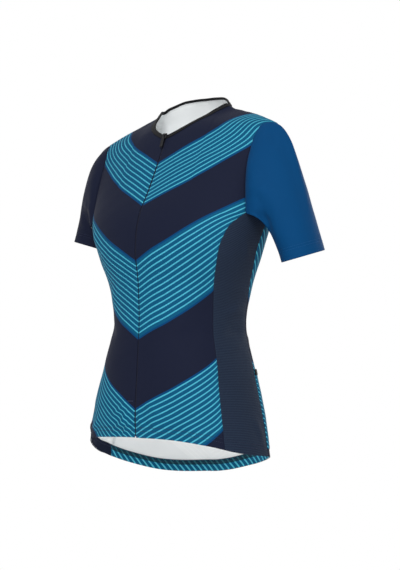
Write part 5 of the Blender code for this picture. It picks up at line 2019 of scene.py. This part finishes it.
@dataclass(frozen=True)
class HemStitches:
    """Twin rows round the front and side hems and the cuffs, and one row on the back hem."""

    body: Body
    sleeves: Sleeves
    front_margin: float = 0.08
    side_margin: float = 0.15
    back_margin: float = 0.1

    def build(self, thread: bpy.types.Material, blue: bpy.types.Material) -> None:
        """Make the stitches."""
        body, lines = self.body, []
        for side in Side:
            for height in body.stitch_rows:
                lines.append(body.hem_line(body.front[side], height, self.front_margin))
                lines.append(body.hem_line(body.side[side], height, self.side_margin))
        lines.append(body.hem_line(body.back, body.back_stitch_row, self.back_margin))
        sew("stitches_hem", [raised(line, THREAD_LIFT) for line in lines], thread, "front_print")
        stitching = Stitching(pitch=0.0028, length=0.0021, radius=0.0002)
        for side, finish in ((Side.LEFT, blue), (Side.RIGHT, thread)):
            rows = self.sleeves.stitch_rows
            lines = [raised(self.sleeves.cuff_line(side, height), THREAD_LIFT) for height in rows]
            sew("stitches_cuff_" + side.name.lower(), lines, finish, SLEEVE_SLOTS[side], stitching)


# ------------------------------------------------------------------ the studio
@dataclass(frozen=True)
class Lamp:
    """A soft square lamp, aimed at the middle of the top unless it says otherwise."""

    name: str
    place: Spot
    size: float
    level: float
    aim: Spot = (0.0, 0.0, -0.30)

    def build(self) -> None:
        """Make the lamp; its level is the brightness it gives white cloth that faces it."""
        light = bpy.data.lights.new(self.name, "AREA")
        light.shape = "SQUARE"
        light.size = self.size
        reach = Vector(self.aim) - Vector(self.place)
        light.energy = self.level * math.pi ** 2 * reach.length_squared
        lamp = bpy.data.objects.new(self.name, light)
        lamp.location = self.place
        lamp.rotation_euler = reach.to_track_quat("-Z", "Y").to_euler()
        lamp.visible_camera = False
        bpy.context.scene.collection.objects.link(lamp)


@dataclass(frozen=True)
class Studio:
    """White studio: a floor well below the top, soft lamps and the camera.

    The lamps inside the hollow stand for light that comes through the thin knit.
    """

    floor_z: float = -1.35
    floor_half: float = 7.0
    fade: tuple[float, float] = (0.5, 1.5)
    paper: tuple[Colour, Colour] = ((0.90, 0.90, 0.90), (0.93, 0.93, 0.93))
    ambient: float = 0.31
    lamps: tuple[Lamp, ...] = (
        Lamp("lamp_key", (1.15, -2.10, 1.05), 0.9, 0.56),
        Lamp("lamp_low", (0.80, -1.90, -1.25), 0.8, 0.20),
        Lamp("lamp_side", (2.30, -0.10, 0.25), 1.4, 0.10),
        Lamp("lamp_back", (0.20, 2.40, 0.60), 2.0, 0.26),
        Lamp("lamp_inside_up", (0.0, 0.0, -0.24), 0.08, 0.14, (0.0, 0.03, 0.0)),
        Lamp("lamp_inside_down", (0.0, 0.0, -0.36), 0.08, 0.38, (0.0, 0.03, -0.60)),
    )
    distance: float = 1.293
    turn: float = 0.664
    height: float = -0.358
    look: float = 0.023
    pitch: float = 0.042
    roll: float = 0.029
    focal: float = 760.4
    frame_height: float = 570.0
    sensor: float = 36.0

    def floor(self) -> None:
        """Pale floor that keeps the shadow near the top and fades to white away from it."""
        h, z = self.floor_half, self.floor_z
        mesh = bpy.data.meshes.new("floor")
        mesh.from_pydata([(-h, -h, z), (h, -h, z), (h, h, z), (-h, h, z)], [], [(0, 1, 2, 3)])
        paint = Paint("floor_paper", 0.9)
        place = paint.node("ShaderNodeTexCoord", out="Object")
        level = paint.node("ShaderNodeVectorMath", {"operation": "MULTIPLY"}, {0: place, 1: (1.0, 1.0, 0.0)})
        away = paint.node("ShaderNodeVectorMath", {"operation": "LENGTH"}, {0: level}, "Value")
        far = away.rise(*self.fade) * self.seen(paint)
        mesh.materials.append(paint.finish(paint.mix(paint.noise(3.0), *self.paper)))
        lit = Value(paint, paint.shader.outputs[0])
        glow = paint.node("ShaderNodeEmission", None, {"Color": (1.0, 1.0, 1.0), "Strength": 1.0})
        surface = paint.node("ShaderNodeMixShader", None, {0: far, 1: lit, 2: glow})
        paint.feed(paint.tree.nodes["Material Output"].inputs["Surface"], surface)
        floor = bpy.data.objects.new("floor", mesh)
        bpy.context.scene.collection.objects.link(floor)

    def seen(self, nodes: Nodes) -> Value:
        """1 for rays that show the background, 0 for those that light."""
        rays = nodes.node("ShaderNodeLightPath", out="Is Camera Ray")
        outputs = rays.source.node.outputs
        for kind in ("Is Glossy Ray", "Is Transmission Ray"):
            rays = rays.most(Value(nodes, outputs[kind]))
        return rays

    def sky(self) -> None:
        """White all round where it is seen, softer where it lights."""
        world = bpy.data.worlds.new("studio")
        world.use_nodes = True
        bpy.context.scene.world = world
        nodes = Nodes(world.node_tree)
        back = nodes.tree.nodes["Background"]
        back.inputs["Color"].default_value = (1.0, 1.0, 1.0, 1.0)
        nodes.feed(back.inputs["Strength"], self.seen(nodes) * (1.0 - self.ambient) + self.ambient)

    def camera(self) -> None:
        """Camera in front of the wearer's left."""
        heading = self.turn - self.look
        flat = math.cos(self.pitch)
        forward = Vector((-math.sin(heading) * flat, math.cos(heading) * flat, math.sin(self.pitch)))
        right = Vector((math.cos(heading), math.sin(heading), 0.0))
        up = right.cross(forward)
        x = right * math.cos(self.roll) + up * math.sin(self.roll)
        y = up * math.cos(self.roll) - right * math.sin(self.roll)
        place = (self.distance * math.sin(self.turn), -self.distance * math.cos(self.turn), self.height)
        rows = [[x[k], y[k], -forward[k], place[k]] for k in range(3)]
        lens = bpy.data.cameras.new("camera")
        lens.sensor_fit = "AUTO"
        lens.sensor_width = self.sensor
        lens.lens = self.sensor * self.focal / self.frame_height
        lens.clip_start = 0.02
        eye = bpy.data.objects.new("camera", lens)
        eye.matrix_world = Matrix(rows + [[0.0, 0.0, 0.0, 1.0]])
        bpy.context.scene.collection.objects.link(eye)
        bpy.context.scene.camera = eye

    def build(self) -> None:
        """Set up the whole studio."""
        self.floor()
        self.sky()
        for lamp in self.lamps:
            lamp.build()
        self.camera()
        bpy.context.scene.view_settings.view_transform = "Standard"


# ------------------------------------------------------------------ the build
def main() -> None:
    """Build the top around its frame and report each piece."""
    logging.basicConfig(level=logging.INFO, format="%(name)s %(message)s")
    cutting, creases = Cutting(), Creases()
    body = Body(cutting, creases)
    sleeves = Sleeves(cutting, creases, body)
    prints = BandPrint("print_bands")
    outside, inside = prints.material(), prints.reverse()
    white = PlainKnit("knit_inside", WHITE, Knit(dye=0.05)).material()
    navy = PlainKnit("knit_navy", NAVY).material()
    blue = PlainKnit("knit_blue", BLUE).material()
    side = MeshKnit("mesh_navy").material()
    thread = Moulded("thread_navy", colour_of(44, 48, 74), 0.6).material()
    blue_thread = Moulded("thread_blue", colour_of(20, 84, 138), 0.6).material()
    pale_thread = Moulded("thread_white", colour_of(214, 218, 220), 0.7).material()
    dark_thread = Moulded("thread_black", colour_of(14, 14, 16), 0.6).material()
    elastic = Elastic("elastic_black").material()
    body.build({"front": [outside, inside], "back": [outside, inside], "side": [side, white]})
    sleeves.build({Side.LEFT: [blue, white], Side.RIGHT: [navy, white]})
    NeckBinding(cutting).build(elastic, dark_thread)
    stripes = BandPrint("print_pocket", bands=((-0.90, 0.30),))
    Pocket(body).build([stripes.material(), inside], elastic, thread)
    HemFacing(body).build(FacingPrint("print_facing").material(), thread)
    Overlock(body, sleeves).build(pale_thread)
    Zip(body).build(Woven("tape_woven", colour_of(26, 28, 44)).material(),
                    Moulded("nylon_coil", colour_of(24, 26, 38), 0.35, coat=0.3).material(),
                    Moulded("enamel_black", colour_of(20, 20, 22), 0.32, coat=0.5).material(),
                    Moulded("rubber_black", colour_of(22, 22, 25), 0.55).material(), thread)
    HemStitches(body, sleeves).build(thread, blue_thread)
    Studio().build()


if __name__ == "__main__":
    main()
